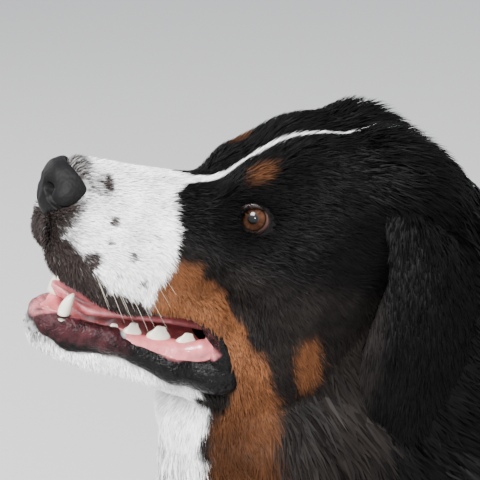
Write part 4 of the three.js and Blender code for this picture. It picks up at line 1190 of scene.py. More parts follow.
class Sockets:
    """Short cuts for wiring a material's nodes."""

    def __init__(self, name: str) -> None:
        """Makes a material with a Principled shader."""
        self.material = bpy.data.materials.new(name)
        self.material.use_nodes = True
        self.tree = self.material.node_tree
        self.shader = self.tree.nodes["Principled BSDF"]

    def set(self, **values: object) -> None:
        """Sets values on the shader's own sockets, named with underscores for spaces."""
        for key, value in values.items():
            self.shader.inputs[key.replace("_", " ")].default_value = value

    def node(self, kind: str, **values: object) -> bpy.types.Node:
        """Adds a node; a value names an attribute of it or one of its inputs."""
        node = self.tree.nodes.new(kind)
        for key, value in values.items():
            if hasattr(node, key):
                setattr(node, key, value)
            else:
                node.inputs[key.replace("_", " ")].default_value = value
        return node

    def link(self, source: Socket, target: Socket) -> None:
        """Joins two sockets."""
        self.tree.links.new(source, target)

    def texture(self, kind: str, **values: object) -> bpy.types.Node:
        """Adds a texture laid out by the piece's own coordinates."""
        texture = self.node(kind, **values)
        self.link(self.node("ShaderNodeTexCoord").outputs["Object"], texture.inputs["Vector"])
        return texture

    def bump(self, height: Socket, strength: float, distance: float) -> None:
        """Feeds the shader's normal from a height."""
        bump = self.node("ShaderNodeBump", Strength=strength, Distance=distance)
        self.link(height, bump.inputs["Height"])
        self.link(bump.outputs["Normal"], self.shader.inputs["Normal"])

    def marks(self, target: Socket) -> None:
        """Feeds a socket from the colour stored on the piece."""
        self.link(self.node("ShaderNodeAttribute", attribute_name="Coat").outputs["Color"], target)

    def patchy(self, group: Group, scale: float, darkest: float, lightest: float) -> Socket:
        """Feeds the base colour in soft patches.

        Args:
            group: The patchy colour group.
            scale: Patches in a metre.
            darkest: Lowest factor on the colour.
            lightest: Highest factor on the colour.

        Returns:
            The group's own colour socket.
        """
        node = self.node("ShaderNodeGroup", node_tree=group, Scale=scale, Darkest=darkest, Lightest=lightest)
        self.link(node.outputs["Colour"], self.shader.inputs["Base Color"])
        return node.inputs["Colour"]


def patchy_group() -> Group:
    """Shared effect: a colour made lighter and darker in soft patches."""
    group = bpy.data.node_groups.new("patchy colour", "ShaderNodeTree")
    for way, kind, name in (
        ("INPUT", "Color", "Colour"), ("INPUT", "Float", "Scale"), ("INPUT", "Float", "Darkest"),
        ("INPUT", "Float", "Lightest"), ("OUTPUT", "Color", "Colour"), ("OUTPUT", "Float", "Height"),
    ):
        group.interface.new_socket(name, in_out=way, socket_type=f"NodeSocket{kind}")
    entry, leave, place, noise, level, scale = map(group.nodes.new, (
        "NodeGroupInput", "NodeGroupOutput", "ShaderNodeTexCoord",
        "ShaderNodeTexNoise", "ShaderNodeMapRange", "ShaderNodeVectorMath",
    ))
    noise.inputs["Detail"].default_value = 3.0
    level.inputs["From Min"].default_value = 0.3
    level.inputs["From Max"].default_value = 0.7
    scale.operation = "SCALE"
    for source, output, target, entrance in (
        (place, "Object", noise, "Vector"),
        (entry, "Scale", noise, "Scale"),
        (noise, "Fac", level, "Value"),
        (entry, "Darkest", level, "To Min"),
        (entry, "Lightest", level, "To Max"),
        (entry, "Colour", scale, 0),
        (level, "Result", scale, "Scale"),
        (scale, "Vector", leave, "Colour"),
        (noise, "Fac", leave, "Height"),
    ):
        group.links.new(source.outputs[output], target.inputs[entrance])
    return group


@dataclass(frozen=True)
class CoatFinish:
    """Hair, or the skin under it: the stored markings in soft patches."""

    name: str
    roughness: float = 0.5
    specular: float = 0.05
    relief: float = 0.0
    patches: float = 55.0
    darkest: float = 0.82
    lightest: float = 1.14

    def make(self, patchy: Group) -> Material:
        """Builds the material."""
        s = Sockets(self.name)
        s.marks(s.patchy(patchy, self.patches, self.darkest, self.lightest))
        s.set(Roughness=self.roughness, Specular_IOR_Level=self.specular)
        if self.relief:
            grain = s.texture("ShaderNodeTexNoise", Scale=900.0, Detail=4.0)
            s.bump(grain.outputs["Fac"], self.relief, 0.0006)
        return s.material


@dataclass(frozen=True)
class FleshFinish:
    """Bare wet or dry flesh, horn or tooth."""

    name: str
    colour: Colour
    roughness: float
    grain: float
    relief: float
    depth: float = 0.0006
    wet: float = 0.0
    under: float = 0.0
    specular: float = 0.5
    cells: bool = False

    def make(self, patchy: Group) -> Material:
        """Builds the material."""
        s = Sockets(self.name)
        s.patchy(patchy, self.grain * 0.3, 0.75, 1.25).default_value = (*self.colour, 1.0)
        s.set(Roughness=self.roughness, Specular_IOR_Level=self.specular, Coat_Weight=self.wet,
              Coat_Roughness=0.12, Subsurface_Weight=self.under, Subsurface_Scale=0.004)
        if self.cells:
            height = s.texture("ShaderNodeTexVoronoi", Scale=self.grain).outputs["Distance"]
        else:
            height = s.texture("ShaderNodeTexNoise", Scale=self.grain, Detail=4.0).outputs["Fac"]
        s.bump(height, self.relief, self.depth)
        return s.material


@dataclass(frozen=True)
class WetFinish:
    """Shining lip skin with fine wrinkles, coloured by its stored pigment, and damper in places."""

    name: str = "wet lip"
    specular: float = 0.13
    wettest: float = 0.16
    driest: float = 0.42

    def make(self, patchy: Group) -> Material:
        """Builds the material."""
        s = Sockets(self.name)
        s.marks(s.patchy(patchy, 130.0, 0.3, 1.9))
        s.set(Specular_IOR_Level=self.specular)
        damp = s.texture("ShaderNodeTexNoise", Scale=45.0, Detail=2.0)
        gloss = s.node("ShaderNodeMapRange", From_Min=0.35, From_Max=0.65,
                       To_Min=self.wettest, To_Max=self.driest)
        s.link(damp.outputs["Fac"], gloss.inputs["Value"])
        s.link(gloss.outputs["Result"], s.shader.inputs["Roughness"])
        wrinkles = s.texture("ShaderNodeTexNoise", Scale=300.0, Detail=4.0)
        s.bump(wrinkles.outputs["Fac"], 0.9, 0.0024)
        return s.material


@dataclass(frozen=True)
class EyeFinish:
    """Glossy eyeball, coloured by its stored iris and pupil."""

    name: str = "wet eye"
    roughness: float = 0.3
    specular: float = 0.1
    tears: float = 0.8

    def make(self) -> Material:
        """Builds the material."""
        s = Sockets(self.name)
        s.marks(s.shader.inputs["Base Color"])
        s.set(Roughness=self.roughness, Specular_IOR_Level=self.specular, Coat_Weight=self.tears,
              Coat_Roughness=0.02)
        return s.material


class Slot(Enum):
    """Names of material slots."""

    COAT = "coat"
    SKIN = "skin"
    NOSE = "nose_leather"
    TONGUE = "tongue"
    EYE = "eye"
    TOOTH = "tooth"
    CLAW = "claw"


class Finishes:
    """All materials, built once."""

    def __init__(self) -> None:
        """Builds the materials."""
        patchy = patchy_group()
        self.hair = CoatFinish("long hair").make(patchy)
        self.hide = CoatFinish("hide under the hair", roughness=0.6, relief=0.5).make(patchy)
        self.lip = WetFinish().make(patchy)
        self.lid = FleshFinish("dark lid", (0.022, 0.013, 0.012), 0.42, 900, 0.5, wet=0.2).make(patchy)
        self.gum = FleshFinish(
            "wet gum", (0.58, 0.15, 0.16), 0.3, 420, 0.4, 0.001, wet=0.8, under=0.2).make(patchy)
        self.tongue = FleshFinish(
            "tongue", (0.62, 0.20, 0.21), 0.38, 900, 0.5, wet=0.6, under=0.25).make(patchy)
        self.tooth = FleshFinish(
            "tooth enamel", (0.80, 0.74, 0.60), 0.25, 200, 0.1, 0.0003, wet=0.5).make(patchy)
        self.nose = FleshFinish(
            "nose leather", (0.0048, 0.0043, 0.0046), 0.55, 430, 0.3, specular=0.11, cells=True).make(patchy)
        self.claw = FleshFinish("claw horn", (0.03, 0.027, 0.025), 0.35, 260, 0.3, 0.0005).make(patchy)
        self.eye = EyeFinish().make()


def dress(piece: Piece, material: Material, nodes: Sequence[str] = ()) -> None:
    """Gives a piece its material and the nodes that it stands for."""
    piece.data.materials.clear()
    piece.data.materials.append(material)
    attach(piece, "root")
    if nodes:
        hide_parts(*nodes)
    LOG.info("%s: %d faces", piece.name, len(piece.data.polygons))


# Pieces


@dataclass
class Hide:
    """The one skin of head, neck, trunk, legs and tail."""

    anatomy: Anatomy
    markings: Markings
    nodes: tuple[str, ...] = ("head", "lower_jaw", "neck", "torso", "tail",
                              "foreleg_left", "foreleg_right", "hind_leg_left", "hind_leg_right")

    def __post_init__(self) -> None:
        """Samples the skin."""
        self.grid = SkinGrid(self.anatomy)
        self.surface = self.grid.surface()

    def build(self, finishes: Finishes) -> None:
        """Makes the skin's mesh with its markings and painted shade."""
        points, quads = self.surface
        piece = mesh_object("hide", points, quads)
        paint(piece, self._colour(points))
        dress(piece, finishes.hide, self.nodes)

    def _colour(self, p: Array) -> Array:
        """Colour of the skin: the coat's, darkened as painted shade under the hair, and the bare flesh of
        mouth, lips and sockets.
        """
        q = to_head(p)
        # Painted shade: the coat's colour darkened for the skin deep under the hair
        colour = self.markings.colour(p) * HIDE_PAINTED_SHADE
        flesh, dark = np.array(self.markings.palette.mouth), np.array(self.markings.palette.lip)
        outer = np.minimum(self.anatomy.upper_head(q), self.anatomy.lower_jaw(q))
        on_head = (q[:, 0] > -30) & (p[:, 2] > 600)
        inside = ramp(self.anatomy.mouth(q), 3.0, 1.5) * ramp(outer, -4.0, -8.0) * on_head
        lips = ramp(self.anatomy.lips(q), 1.5, -0.5) * (1 - inside) * on_head
        socket = ramp(ellipsoid(folded(q), EYE + np.array([3.5, 9, 0]), (13, 14, 12.5)), 1.5, -0.5)
        for share, tone in ((inside, flesh), (lips, dark), (socket, dark)):
            colour = mix(colour, tone, share[:, None])
        return colour

    def bare(self, p: Array) -> Array:
        """1 where hair grows, 0 on lips, lids, in the mouth and under the nose."""
        q = to_head(p)
        rim = self.anatomy.mouth(q) - 3.5 * ramp(q[..., 2], -70, -77)
        grows = ramp(rim, 2.5, 4.0) * ramp(self.anatomy.closed_head(q), -2.2, -0.8)
        grows = grows * ramp(self.anatomy.lower_lip(q), -0.5, 1.5)
        grows = grows * ramp(self.anatomy.upper_lip(q), -0.6, 0.6) * ramp(self.anatomy.nose(q), 0.2, 1.6)
        grows = grows * ramp(ellipsoid(folded(q), EYE + np.array([3, 9, 0]), (12.5, 14, 11)), 0.0, 2.0)
        return np.where((q[..., 0] > -40) & (p[..., 2] > 560), grows, 1.0)


@dataclass(frozen=True)
class Eyes:
    """Eyeballs and lids. Iris and pupil are angles from the eye's axis."""

    axis: Place = (0.50, 0.84, 0.14)
    iris: float = 0.70
    pupil: float = 0.27
    cornea: float = 0.7
    sides: int = 48
    black: Colour = (0.003, 0.003, 0.003)
    brown: Colour = (0.036, 0.015, 0.009)
    light: Colour = (0.105, 0.046, 0.024)
    rim: Colour = (0.012, 0.007, 0.005)
    white: Colour = (0.16, 0.09, 0.075)
    centre: Colour = (0.004, 0.004, 0.004)
    back: Colour = (0.3, 0.2, 0.17)
    corners: Table = ((14.0, 2.5, 1.5), (-7.5, 13.0, -6.5))
    upper_lid: Table = ((11.0, 7.4, 8.6), (3.8, 9.8, 11.0), (-3.8, 11.6, 7.6))
    lower_lid: Table = ((10.5, 6.6, -5.6), (4.0, 8.6, -9.4), (-2.5, 10.8, -10.4))

    def build(self, finishes: Finishes) -> None:
        """Makes both eyes."""
        for side, name in SIDES:
            self._ball(side, name, finishes)
            self._lids(side, name, finishes)

    def _ball(self, side: int, name: str, finishes: Finishes) -> None:
        """Makes an eyeball with its bulging cornea, iris and pupil."""
        flip = np.array([1.0, side, 1.0])
        axis = unit(np.array(self.axis)) * flip
        right = unit(np.cross(axis, np.array([0.0, 0.0, 1.0])))
        up = np.cross(right, axis)
        turn = np.linspace(0, 2 * math.pi, self.sides, endpoint=False)
        circle = np.cos(turn)[:, None] * right + np.sin(turn)[:, None] * up
        rings, tones = [], []
        for angle in np.concatenate([np.linspace(0.03, 0.8, 28), np.linspace(0.86, 3.05, 20)]):
            radius = EYE_RADIUS + self.cornea * math.exp(-((angle / 0.5) ** 4))
            ring = math.cos(angle) * axis + math.sin(angle) * circle
            rings.append(EYE * flip + ring * radius)
            tones.append(self._tone(angle, turn))
        front = EYE * flip + axis * (EYE_RADIUS + self.cornea)
        points, faces = loft(rings, front, EYE * flip - axis * EYE_RADIUS)
        piece = mesh_object(f"eyeball_{name}", from_head(points), faces, turned=True)
        paint(piece, np.concatenate([*tones, [self.centre], [self.back]]))
        dress(piece, finishes.eye, (f"eye_{name}",))

    def _tone(self, angle: float, turn: Array) -> Array:
        """Colours around the eyeball at an angle from its axis."""
        streak = 0.5 + 0.5 * np.sin(turn * 17 + 3 * np.sin(turn * 5)) * np.sin(turn * 29 + 1)
        tone = mix(np.array(self.brown), np.array(self.light), (streak * ramp(angle, 0.3, 0.5))[:, None])
        tone = mix(np.array(self.black), tone, ramp(angle, self.pupil - 0.02, self.pupil + 0.03))
        tone = mix(tone, np.array(self.rim), ramp(angle, self.iris - 0.08, self.iris))
        return mix(tone, np.array(self.white), ramp(angle, self.iris + 0.02, self.iris + 0.12))

    def _lids(self, side: int, name: str, finishes: Finishes) -> None:
        """Makes the two lids of an eye from corner to corner."""
        bars = []
        for lid in (self.upper_lid, self.lower_lid):
            row = np.array((self.corners[0], *lid, self.corners[1]))
            bars.append(bar((EYE + row) * np.array([1, side, 1]), [1.2, 1.8, 2.0, 1.8, 1.2], 10, 28))
        piece = mesh_object(f"eyelids_{name}", *gathered(bars), turned=True)
        dress(piece, finishes.lid)


@dataclass(frozen=True)
class Nose:
    """Nose pad with comma-shaped nostrils."""

    anatomy: Anatomy
    step: float = 0.9

    def form(self, q: Array) -> Array:
        """Pad with nostrils, side slits and the groove below."""
        m = folded(q)
        hole = joined(
            limb(m, (131, 8.5, 3), (119, 13, 1), 3.4, 4.4),
            (limb(m, (127, 12, -3), (117, 22, -7), 2.4, 2.0), 3),
            (limb(m, (117, 22, -7), (106, 26, 0), 2.0, 1.2), 2),
        )
        pad = carve(self.anatomy.nose(q), hole, 2.0)
        return carve(pad, limb(m, (133, 0, 0), (127, 0, -26), 0.9, 0.9), 2.0)

    def build(self, finishes: Finishes) -> None:
        """Makes the pad."""
        points, quads = sampled(self.form, (90, -27, -28), (134, 27, 25), self.step)
        dress(mesh_object("nose_pad", from_head(points), quads), finishes.nose, ("nose",))


@dataclass(frozen=True)
class Mouth:
    """Lips, gums, lower teeth and tongue.

    Incisors are counted on one side. Cheek teeth are rows of place, half length and height.
    """

    anatomy: Anatomy
    step: float = 1.25
    black: Colour = (0.0030, 0.0027, 0.0029)
    maroon: Colour = (0.030, 0.008, 0.010)
    pink: Colour = (0.36, 0.12, 0.13)
    ridge: Table = (
        (109, 3, -87, 4.5), (101, 13, -87, 5.5), (70, 24, -89, 5.5), (32, 31, -90, 6.5), (2, 38, -90, 6),
    )
    incisors: int = 3
    cheek_teeth: Table = (
        (79, 21, -85, 4.5, 4.5), (68, 24.5, -83, 5.0, 6.5), (56, 27.5, -82, 6.2, 9),
        (39, 31.5, -81, 7.8, 9.5), (21, 36.5, -80.5, 7.0, 8.5),
    )

    def build(self, finishes: Finishes) -> None:
        """Makes what the open mouth shows."""
        self._lips(finishes)
        self._gums(finishes)
        self._teeth(finishes)
        self._tongue(finishes)

    def _lips(self, finishes: Finishes) -> None:
        """Makes the bare skin of both lips, black with maroon and pink places."""
        def form(q: Array) -> Array:
            """Lip skin, a little over the head's own surface."""
            return blend_cut(self.anatomy.head(from_head(q)) - 0.9, self.anatomy.lips(q), 1.5)

        points, quads = sampled(form, (-24, -66, -124), (124, 66, -34), self.step)
        piece = mesh_object("lips", from_head(points), quads)
        a, u = points[:, 0], points[:, 2]
        line = np.interp(a, [0, 30, 62, 75, 110], [-86, -90, -84, -85, -84])
        front = ramp(a, 52, 72) * ramp(u, -74, -78) * ramp(line - 11 + 3 * wave(points, 9, 1) - u, 5, -5)
        colour = mix(np.array([self.black]), np.array([self.maroon]), (front * 0.9)[:, None])
        inner = ramp(self.anatomy.mouth(points), 2.4, 0.8) * ramp(u, -76, -80)
        paint(piece, mix(colour, np.array([self.pink]), (inner * 0.7)[:, None]))
        dress(piece, finishes.lip)

    def _gums(self, finishes: Finishes) -> None:
        """Makes the mouth's lining with the ridge that carries the teeth."""
        def form(q: Array) -> Array:
            """Lining and ridge."""
            m = folded(q)
            lining = blend_cut(self.anatomy.head(from_head(q)) - 0.6, self.anatomy.mouth(q) - 2.0, 1.0)
            lining = blend_cut(lining, -self.anatomy.lips(q) - 2.0, 1.0)
            ridge = joined(
                chain(m, self.ridge, (5, 5, 5)),
                (limb(m, (62, 29, -88), (28, 36, -90), 5.5, 8), 5),
                (limb(m, (28, 36, -90), (4, 42, -88), 7, 6), 5),
                (limb(m, (24, 38, -87), (12, 43, -81), 6, 5.5), 4),
                (limb(m, (12, 43, -81), (6, 45, -79), 5.5, 3.5), 3),
            )
            return blend(lining, ridge, 3)

        points, quads = sampled(form, (-34, -64, -102), (126, 64, -26), self.step)
        dress(mesh_object("gums", from_head(points), quads), finishes.gum)

    def _teeth(self, finishes: Finishes) -> None:
        """Makes fangs, incisors and cheek teeth of the lower jaw."""
        bars = []
        for side, _ in SIDES:
            bars.append(self._tooth((100, 15.5 * side, -83), 19, 5.4, -2.5, 2.0 * side))
            for i in range(self.incisors):
                bars.append(self._tooth((111 - i * 1.5, (2.4 + 4.1 * i) * side, -81), 8.5, 2.2, 0, 0))
            for a, l, u, long, high in self.cheek_teeth:
                bars.append(self._crown((a, l * side, u), long, high))
        dress(mesh_object("lower_teeth", *gathered(bars), turned=True), finishes.tooth)

    @staticmethod
    def _crown(place: Sequence[float], long: float, high: float) -> Surface:
        """Broad cheek tooth with a high cusp between two low ones.

        Args:
            place: Foot of the tooth, in the head's frame.
            long: Half of its length.
            high: Its height.
        """
        a, l, u = place
        ring = np.linspace(0, 2 * math.pi, 20, endpoint=False)
        rings = []
        for t in np.linspace(0, 1, 9):
            width = (1.0 - 0.55 * t**2) * (0.85 + 0.3 * math.sin(math.pi * min(1.0, t * 1.4)))
            spot = np.stack([a + np.cos(ring) * long * width, l + np.sin(ring) * 3.6 * width * (1 - 0.35 * t),
                             np.full(20, u - 3 + t * high)], -1)
            spot[:, 2] += t * 0.9 * (np.cos(np.cos(ring) * 7.0) * 0.6 + 0.4)
            rings.append(spot)
        points, faces = loft(rings, np.array([a, l, u - 3.5]), np.array([a, l, u - 3 + high + 1.2]))
        return from_head(points), faces

    @staticmethod
    def _tooth(place: Sequence[float], height: float, width: float, lean: float, spread: float) -> Surface:
        """Slender tooth whose tip leans forward and spreads to the side."""
        a, l, u = place
        line = [(a, l, u - 4), (a, l, u + height * 0.35),
                (a + lean * 0.4, l + spread * 0.5, u + height * 0.75), (a + lean, l + spread, u + height)]
        return bar(line, [width * 0.9, width, width * 0.72, width * 0.24], 12, 14, 0.75)

    def _tongue(self, finishes: Finishes) -> None:
        """Makes the tongue, its tip raised and drifting aside."""
        rings = []
        turn = np.linspace(0, 2 * math.pi, 32, endpoint=False)
        x, z = np.cos(turn), np.sin(turn)
        groove = 1.8 * np.exp(-(x / 0.15) ** 2) * (z > 0)
        lift = np.where(z > 0, 4.4 * np.abs(z) ** 0.7, -4.5 * np.abs(z)) + 2.4 * x**2 - groove
        for t in np.linspace(0, 1, 44):
            tip = float(ramp(t, 0.2, 0.0))
            half = (12 + 12 * float(ramp(t, 0, 0.55))) * math.sqrt(min(1.0, t * 9 + 0.12))
            level = mix(-79, -77, t) - 2 * math.cos(t * 6) + 9 * tip
            rings.append(np.stack([mix(104, -14, t) + 2.5 * tip * z, x * half - 4.5 * tip, level + lift], -1))
        points, faces = loft(rings, np.array([106.5, -4.5, -70.0]), np.array([-18, 0, -76.0]))
        piece = mesh_object("tongue_flesh", from_head(points), faces, turned=True)
        dress(piece, finishes.tongue, ("tongue",))


@dataclass(frozen=True)
class Ears:
    """Hanging ears: a cupped leaf of skin under hair.

    Sections hold drop below the head's middle, front edge, back edge and distance out.
    """

    sections: Table = (
        (-40, -76, -107, 57), (-24, -80, -132, 66), (0, -84, -146, 76), (26, -80, -153, 83),
        (50, -77, -156, 88), (70, -82, -155, 91), (84, -91, -148, 93), (93, -104, -138, 94),
    )
    thick: float = 4.0
    cup: float = 7.0
    rows: int = 44
    tufts: int = 25000
    points: int = 3

    def leaf(self, side: int) -> Surface:
        """Leaf of one ear, in the head's frame."""
        rings = []
        across = np.linspace(-1, 1, 15)
        drops = np.linspace(self.sections[0][0], self.sections[-1][0], self.rows)
        shares = np.linspace(0, 1, self.rows)
        for t, drop, (front, back, l) in zip(shares, drops, read_table(self.sections, drops)):
            a, half = (front + back) / 2, (front - back) / 2
            wall = self.thick * mix(1.0, 0.6, t) / 2 * np.sqrt(np.maximum(0.12, 1 - across**2))
            cup = (1 - across**2) * self.cup
            level = across * half * 0.12 - drop
            outer = np.stack([a + across * half, l + cup + wall, level], -1)
            inner = np.stack([a + across * half * 0.97, l + cup - wall, level], -1)[::-1]
            rings.append(np.concatenate([outer, inner]) * np.array([1, side, 1]))
        return loft(rings, np.array([-91, 63 * side, 43.0]), np.array([-121, 100 * side, -97.0]))

    def build(self, finishes: Finishes, coat: Coat, chance: Chance) -> None:
        """Makes both ears with their hair."""
        for side, name in SIDES:
            points, faces = self.leaf(side)
            piece = mesh_object(f"ear_leaf_{name}", from_head(points), faces, turned=True)
            # Painted shade: the leaf takes the coat's colour darkened as shade under its hair
            paint(piece, coat.markings.colour(from_head(points)) * HIDE_PAINTED_SHADE)
            dress(piece, finishes.hide, (f"ear_{name}",))
            dress(self._hair(piece, name, side, coat, chance), finishes.hair)

    def _hair(self, leaf: Piece, name: str, side: int, coat: Coat, chance: Chance) -> Piece:
        """Grows hair on a leaf, denser outside than inside.

        Args:
            leaf: The ear's leaf.
            name: Name of the side.
            side: 1 on the left, -1 on the right.
            coat: The coat, for its markings and the gathering of locks.
            chance: Random source.
        """
        mesh = leaf.data
        mesh.calc_loop_triangles()
        spots = np.empty(len(mesh.vertices) * 3)
        mesh.vertices.foreach_get("co", spots)
        spots = spots.reshape(-1, 3) * 1000 - np.array([0, CENTRE_SHIFT, 0])
        index = np.empty(len(mesh.loop_triangles) * 3, int)
        mesh.loop_triangles.foreach_get("vertices", index)
        corners = spots[index.reshape(-1, 3)]
        normal = np.cross(corners[:, 1] - corners[:, 0], corners[:, 2] - corners[:, 0])
        area = np.linalg.norm(normal, axis=-1) / 2
        outer = unit(normal)[:, 0] * side > 0
        root, face = scatter(corners, area * np.where(outer, 1.0, 0.35), self.tufts, chance)
        out = unit(normal)[face]
        q = to_head(root)
        low = ramp(q[:, 2], 10, -70)
        rear = ramp(q[:, 0], -115, -135)
        lie = turn_from_head(np.stack([-0.22 - 0.5 * rear, 0 * rear, -1.0 + 0 * rear], -1))
        along = unit(lie - out * np.sum(lie * out, -1, keepdims=True))
        sway = (chance.normal(0, 0.11, self.tufts) + 0.2 * wave(root, 30, 2.0))[:, None]
        along = unit(along + np.cross(out, along) * sway)
        length = (10 + 4 * low + 5 * rear) * chance.uniform(0.75, 1.15, self.tufts)
        rise = chance.uniform(0.6, 2.6, self.tufts)
        rows = []
        for t in np.linspace(0, 1, self.points):
            height = -0.6 + (rise + 0.6) * math.sin(min(1.0, t * 1.3) * math.pi / 2)
            drop = np.array([0, 0, -1.0]) * (length * 0.12 * t * t)[:, None]
            rows.append(root + along * (length * t)[:, None] + out * height[:, None] + drop)
        strands = coat.settle(coat.gather(np.stack(rows, 1), 0.25, 7, chance))
        normals = np.repeat(out[:, None], self.points, 1)
        width = 1.15 * chance.uniform(0.7, 1.2, self.tufts)
        return coat.mesh(f"ear_hair_{name}", strands, normals, width, coat.markings.colour(root), chance)


@dataclass(frozen=True)
class Feet:
    """Sixteen claws."""

    anatomy: Anatomy
    radii: tuple[float, ...] = (5.0, 3.4, 0.9)

    def build(self, finishes: Finishes) -> None:
        """Makes the claws."""
        claws = []
        for side, _ in SIDES:
            paws = (self.anatomy.fore_paw, self.anatomy.hind_paw)
            for (x, y), (dx, dy) in product(paws, self.anatomy.toes):
                root = np.array([(x + dx) * side, y + dy - 15, 21])
                tip = np.array([(x + dx * 1.04) * side, y + dy - 31, 7])
                bend = (root + tip) / 2 + np.array([0, -3.5, 2.5])
                claws.append(bar([to_head(root), to_head(bend), to_head(tip)], self.radii, 10, 12, 0.75))
        dress(mesh_object("claws", *gathered(claws), turned=True), finishes.claw)


@dataclass(frozen=True)
class Whiskers:
    """Long stiff hairs of the muzzle."""

    count: int = 19
    rows: int = 4
    radii: tuple[float, ...] = (0.11, 0.10, 0.08, 0.03)

    def build(self, hide: Hide, finishes: Finishes, chance: Chance) -> None:
        """Makes the whiskers of both sides, each set on the skin."""
        bars = []
        for (side, _), i in product(SIDES, range(self.count)):
            row, column = i % self.rows, i // self.rows
            a = 103 - 8.5 * column - 2 * row + chance.normal(0, 1.4)
            u = -14 - 9.5 * row - 1.2 * column + chance.normal(0, 1.4)
            base = from_head(np.array([a, 40.0 * side, u]))
            out = unit(from_head(np.array([a, 41.0 * side, u])) - base)
            for _ in range(40):
                base = base - out * float(hide.grid.distance(base[None])[0]) * 0.8
            start = to_head(base)
            length = 19 + 3.0 * column + chance.uniform(-3, 7)
            way = unit(np.array([-0.62 - 0.04 * column, 0.42 * side, -0.55 - 0.12 * row]))
            line = [start - way * 2, start + way * length * 0.35 + np.array([0, 0, 1.0]),
                    start + way * length * 0.7, start + way * length + np.array([-2, 0, -4.0])]
            bars.append(bar(line, self.radii, 4, 9))
        dress(mesh_object("whiskers", *gathered(bars), turned=True), finishes.tooth)


# Stage


@dataclass(frozen=True)
class View:
    """The camera, set about a point of the head."""

    azimuth: float = 72.0
    elevation: float = 27.0
    distance: float = 900.0
    scale: float = 1.52
    look: Place = (0.0, 20.0, -40.0)
    centre: tuple[float, float] = (224.4, 279.0)
    frame: int = 480
    sensor: float = 36.0

    def build(self) -> None:
        """Makes the camera."""
        a, e = math.radians(self.azimuth), math.radians(self.elevation)
        back = Vector((math.sin(a) * math.cos(e), -math.cos(a) * math.cos(e), math.sin(e)))
        data = bpy.data.cameras.new("camera")
        camera = placed("camera", data)
        camera.location = Vector(metres(from_head(np.array(self.look)))) + back * self.distance / 1000
        camera.rotation_euler = (-back).to_track_quat("-Z", "Y").to_euler()
        data.sensor_width = self.sensor
        data.lens = self.scale * self.distance / self.frame * self.sensor
        data.shift_x = (self.frame / 2 - self.centre[0]) / self.frame
        data.shift_y = (self.centre[1] - self.frame / 2) / self.frame
        data.clip_start = 0.01
        bpy.context.scene.camera = camera


@dataclass(frozen=True)
class Lamp:
    """Square area lamp, in metres and watts, that faces the dog's breast."""

    name: str
    place: Place
    size: float
    power: float
    aim: Place = (0.0, -0.3, 0.6)

    def build(self) -> None:
        """Makes the lamp."""
        light = bpy.data.lights.new(self.name, "AREA")
        light.energy, light.size = self.power, self.size
        lamp = placed(self.name, light)
        lamp.location = self.place
        lamp.rotation_euler = (Vector(self.aim) - Vector(self.place)).to_track_quat("-Z", "Y").to_euler()


@dataclass(frozen=True)
class Studio:
    """Pale floor and soft light."""

    floor: tuple[float, ...] = (0.62, 0.61, 0.59, 1)
    sky: tuple[float, ...] = (0.88, 0.92, 1.0, 1)
    lamps: tuple[Lamp, ...] = (
        Lamp("key", (1.3, -1.6, 2.7), 1.3, 225),
        Lamp("fill", (-1.6, -1.6, 1.6), 1.6, 30),
        Lamp("back", (0.3, 1.8, 2.4), 1.4, 30),
        Lamp("catch", (0.82, -0.72, 1.02), 0.05, 1.3),
    )

    def build(self) -> None:
        """Makes the floor, the sky and the lamps."""
        bpy.ops.object.select_all(action="DESELECT")
        bpy.ops.mesh.primitive_plane_add(size=8.0, location=(0, 0, 0))
        floor = bpy.context.object
        floor.name = "floor"
        s = Sockets("pale floor")
        s.set(Base_Color=self.floor, Roughness=0.9)
        floor.data.materials.append(s.material)
        world = bpy.data.worlds.new("sky")
        world.use_nodes = True
        world.node_tree.nodes["Background"].inputs["Color"].default_value = self.sky
        world.node_tree.nodes["Background"].inputs["Strength"].default_value = 1.0
        bpy.context.scene.world = world
        for lamp in self.lamps:
            lamp.build()


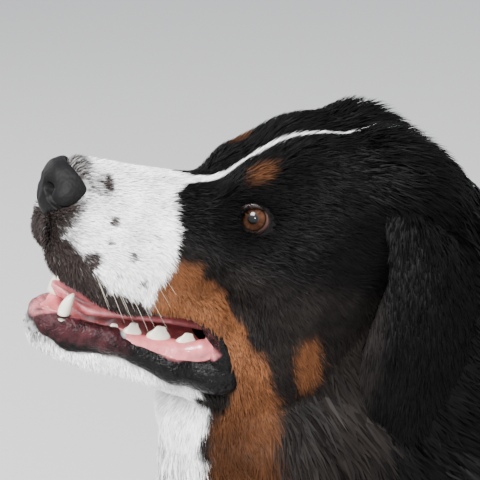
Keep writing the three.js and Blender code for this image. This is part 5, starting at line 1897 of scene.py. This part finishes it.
def coat_patches(growth: Growth) -> list[CoatPatch]:
    """The coat, part by part.

    Args:
        growth: Tells the face's short coat from the long one.

    Returns:
        Patches in the order in which they grow.
    """
    face = growth.head_share

    def muzzle(p: Array) -> Array:
        """Face before the muzzle's start."""
        return face(p) * (to_head(p)[..., 0] > MUZZLE_START)

    def skull(side: int) -> Field:
        """One side of the face behind the muzzle's start."""
        return lambda p: face(p) * (to_head(p)[..., 0] <= MUZZLE_START) * (p[..., 0] * side >= 0)

    def ruff(side: int) -> Field:
        """One side of the neck."""
        def where(p: Array) -> Array:
            """Share at points of the dog's layout."""
            return (1 - face(p)) * (p[..., 2] > BREAST_TOP) * (p[..., 1] < NECK_END) * (p[..., 0] * side >= 0)
        return where

    def breast(p: Array) -> Array:
        """Below the neck, before the trunk."""
        height = p[..., 2]
        return (1 - face(p)) * (height <= BREAST_TOP) * (height > ELBOW) * (p[..., 1] < NECK_END)

    def trunk(p: Array) -> Array:
        """Between shoulder and loin."""
        return (1 - face(p)) * (p[..., 2] > ELBOW) * (p[..., 1] >= NECK_END) * (p[..., 1] < LOIN)

    def rump(p: Array) -> Array:
        """Between loin and tail."""
        return (p[..., 2] > STIFLE) * (p[..., 1] >= LOIN) * (p[..., 1] < TAIL_START) * 1.0

    def legs(p: Array) -> Array:
        """Legs down to the soles."""
        top = np.where(p[..., 1] < 0, ELBOW, STIFLE)
        return (p[..., 2] <= top) * (p[..., 1] < TAIL_START) * (1 - face(p)) * (p[..., 2] > SOLE)

    def tail(p: Array) -> Array:
        """Tail."""
        return (p[..., 1] >= TAIL_START) * 1.0

    return [
        CoatPatch("coat_muzzle", muzzle, 62000, 3, 0.1, 6, 0.10),
        CoatPatch("coat_head_left", skull(1), 60000, 3, 0.15, 7, 0.12),
        CoatPatch("coat_head_right", skull(-1), 40000, 3, 0.15, 7, 0.12),
        CoatPatch("coat_ruff_left", ruff(1), 27000, 5, 0.4, 10, 0.14),
        CoatPatch("coat_ruff_right", ruff(-1), 16000, 5, 0.4, 10, 0.14),
        CoatPatch("coat_breast", breast, 22000, 4, 0.45, 12, 0.16),
        CoatPatch("coat_trunk", trunk, 20000, 5, 0.45, 12, 0.14),
        CoatPatch("coat_rump", rump, 16000, 5, 0.45, 12, 0.14),
        CoatPatch("coat_legs", legs, 26000, 4, 0.25, 8, 0.16),
        CoatPatch("coat_tail", tail, 9000, 5, 0.5, 12, 0.18),
    ]


def main() -> None:
    """Builds the dressed dog and its stage."""
    logging.basicConfig(level=logging.INFO, format="%(message)s")
    chance = np.random.default_rng(11)
    anatomy, markings, growth = Anatomy(), Markings(Palette()), Growth(CoatDepths())
    finishes = Finishes()
    View().build()
    Studio().build()
    hide = Hide(anatomy, markings)
    hide.build(finishes)
    Eyes().build(finishes)
    Nose(anatomy).build(finishes)
    Mouth(anatomy).build(finishes)
    Feet(anatomy).build(finishes)
    Whiskers().build(hide, finishes, chance)
    coat = Coat(hide.grid, growth, markings, hide.surface)
    Ears().build(finishes, coat, chance)
    for patch in coat_patches(growth):
        root = coat.roots(patch, hide.bare, chance)
        strands, normals = coat.grow(root, patch, chance)
        strands = coat.settle(coat.gather(strands, patch.clump, patch.clump_size, chance))
        width = growth.width(root) * chance.uniform(0.7, 1.25, len(root))
        piece = coat.mesh(patch.name, strands, normals, width, markings.colour(root), chance)
        dress(piece, finishes.hair)


if __name__ == "__main__":
    main()
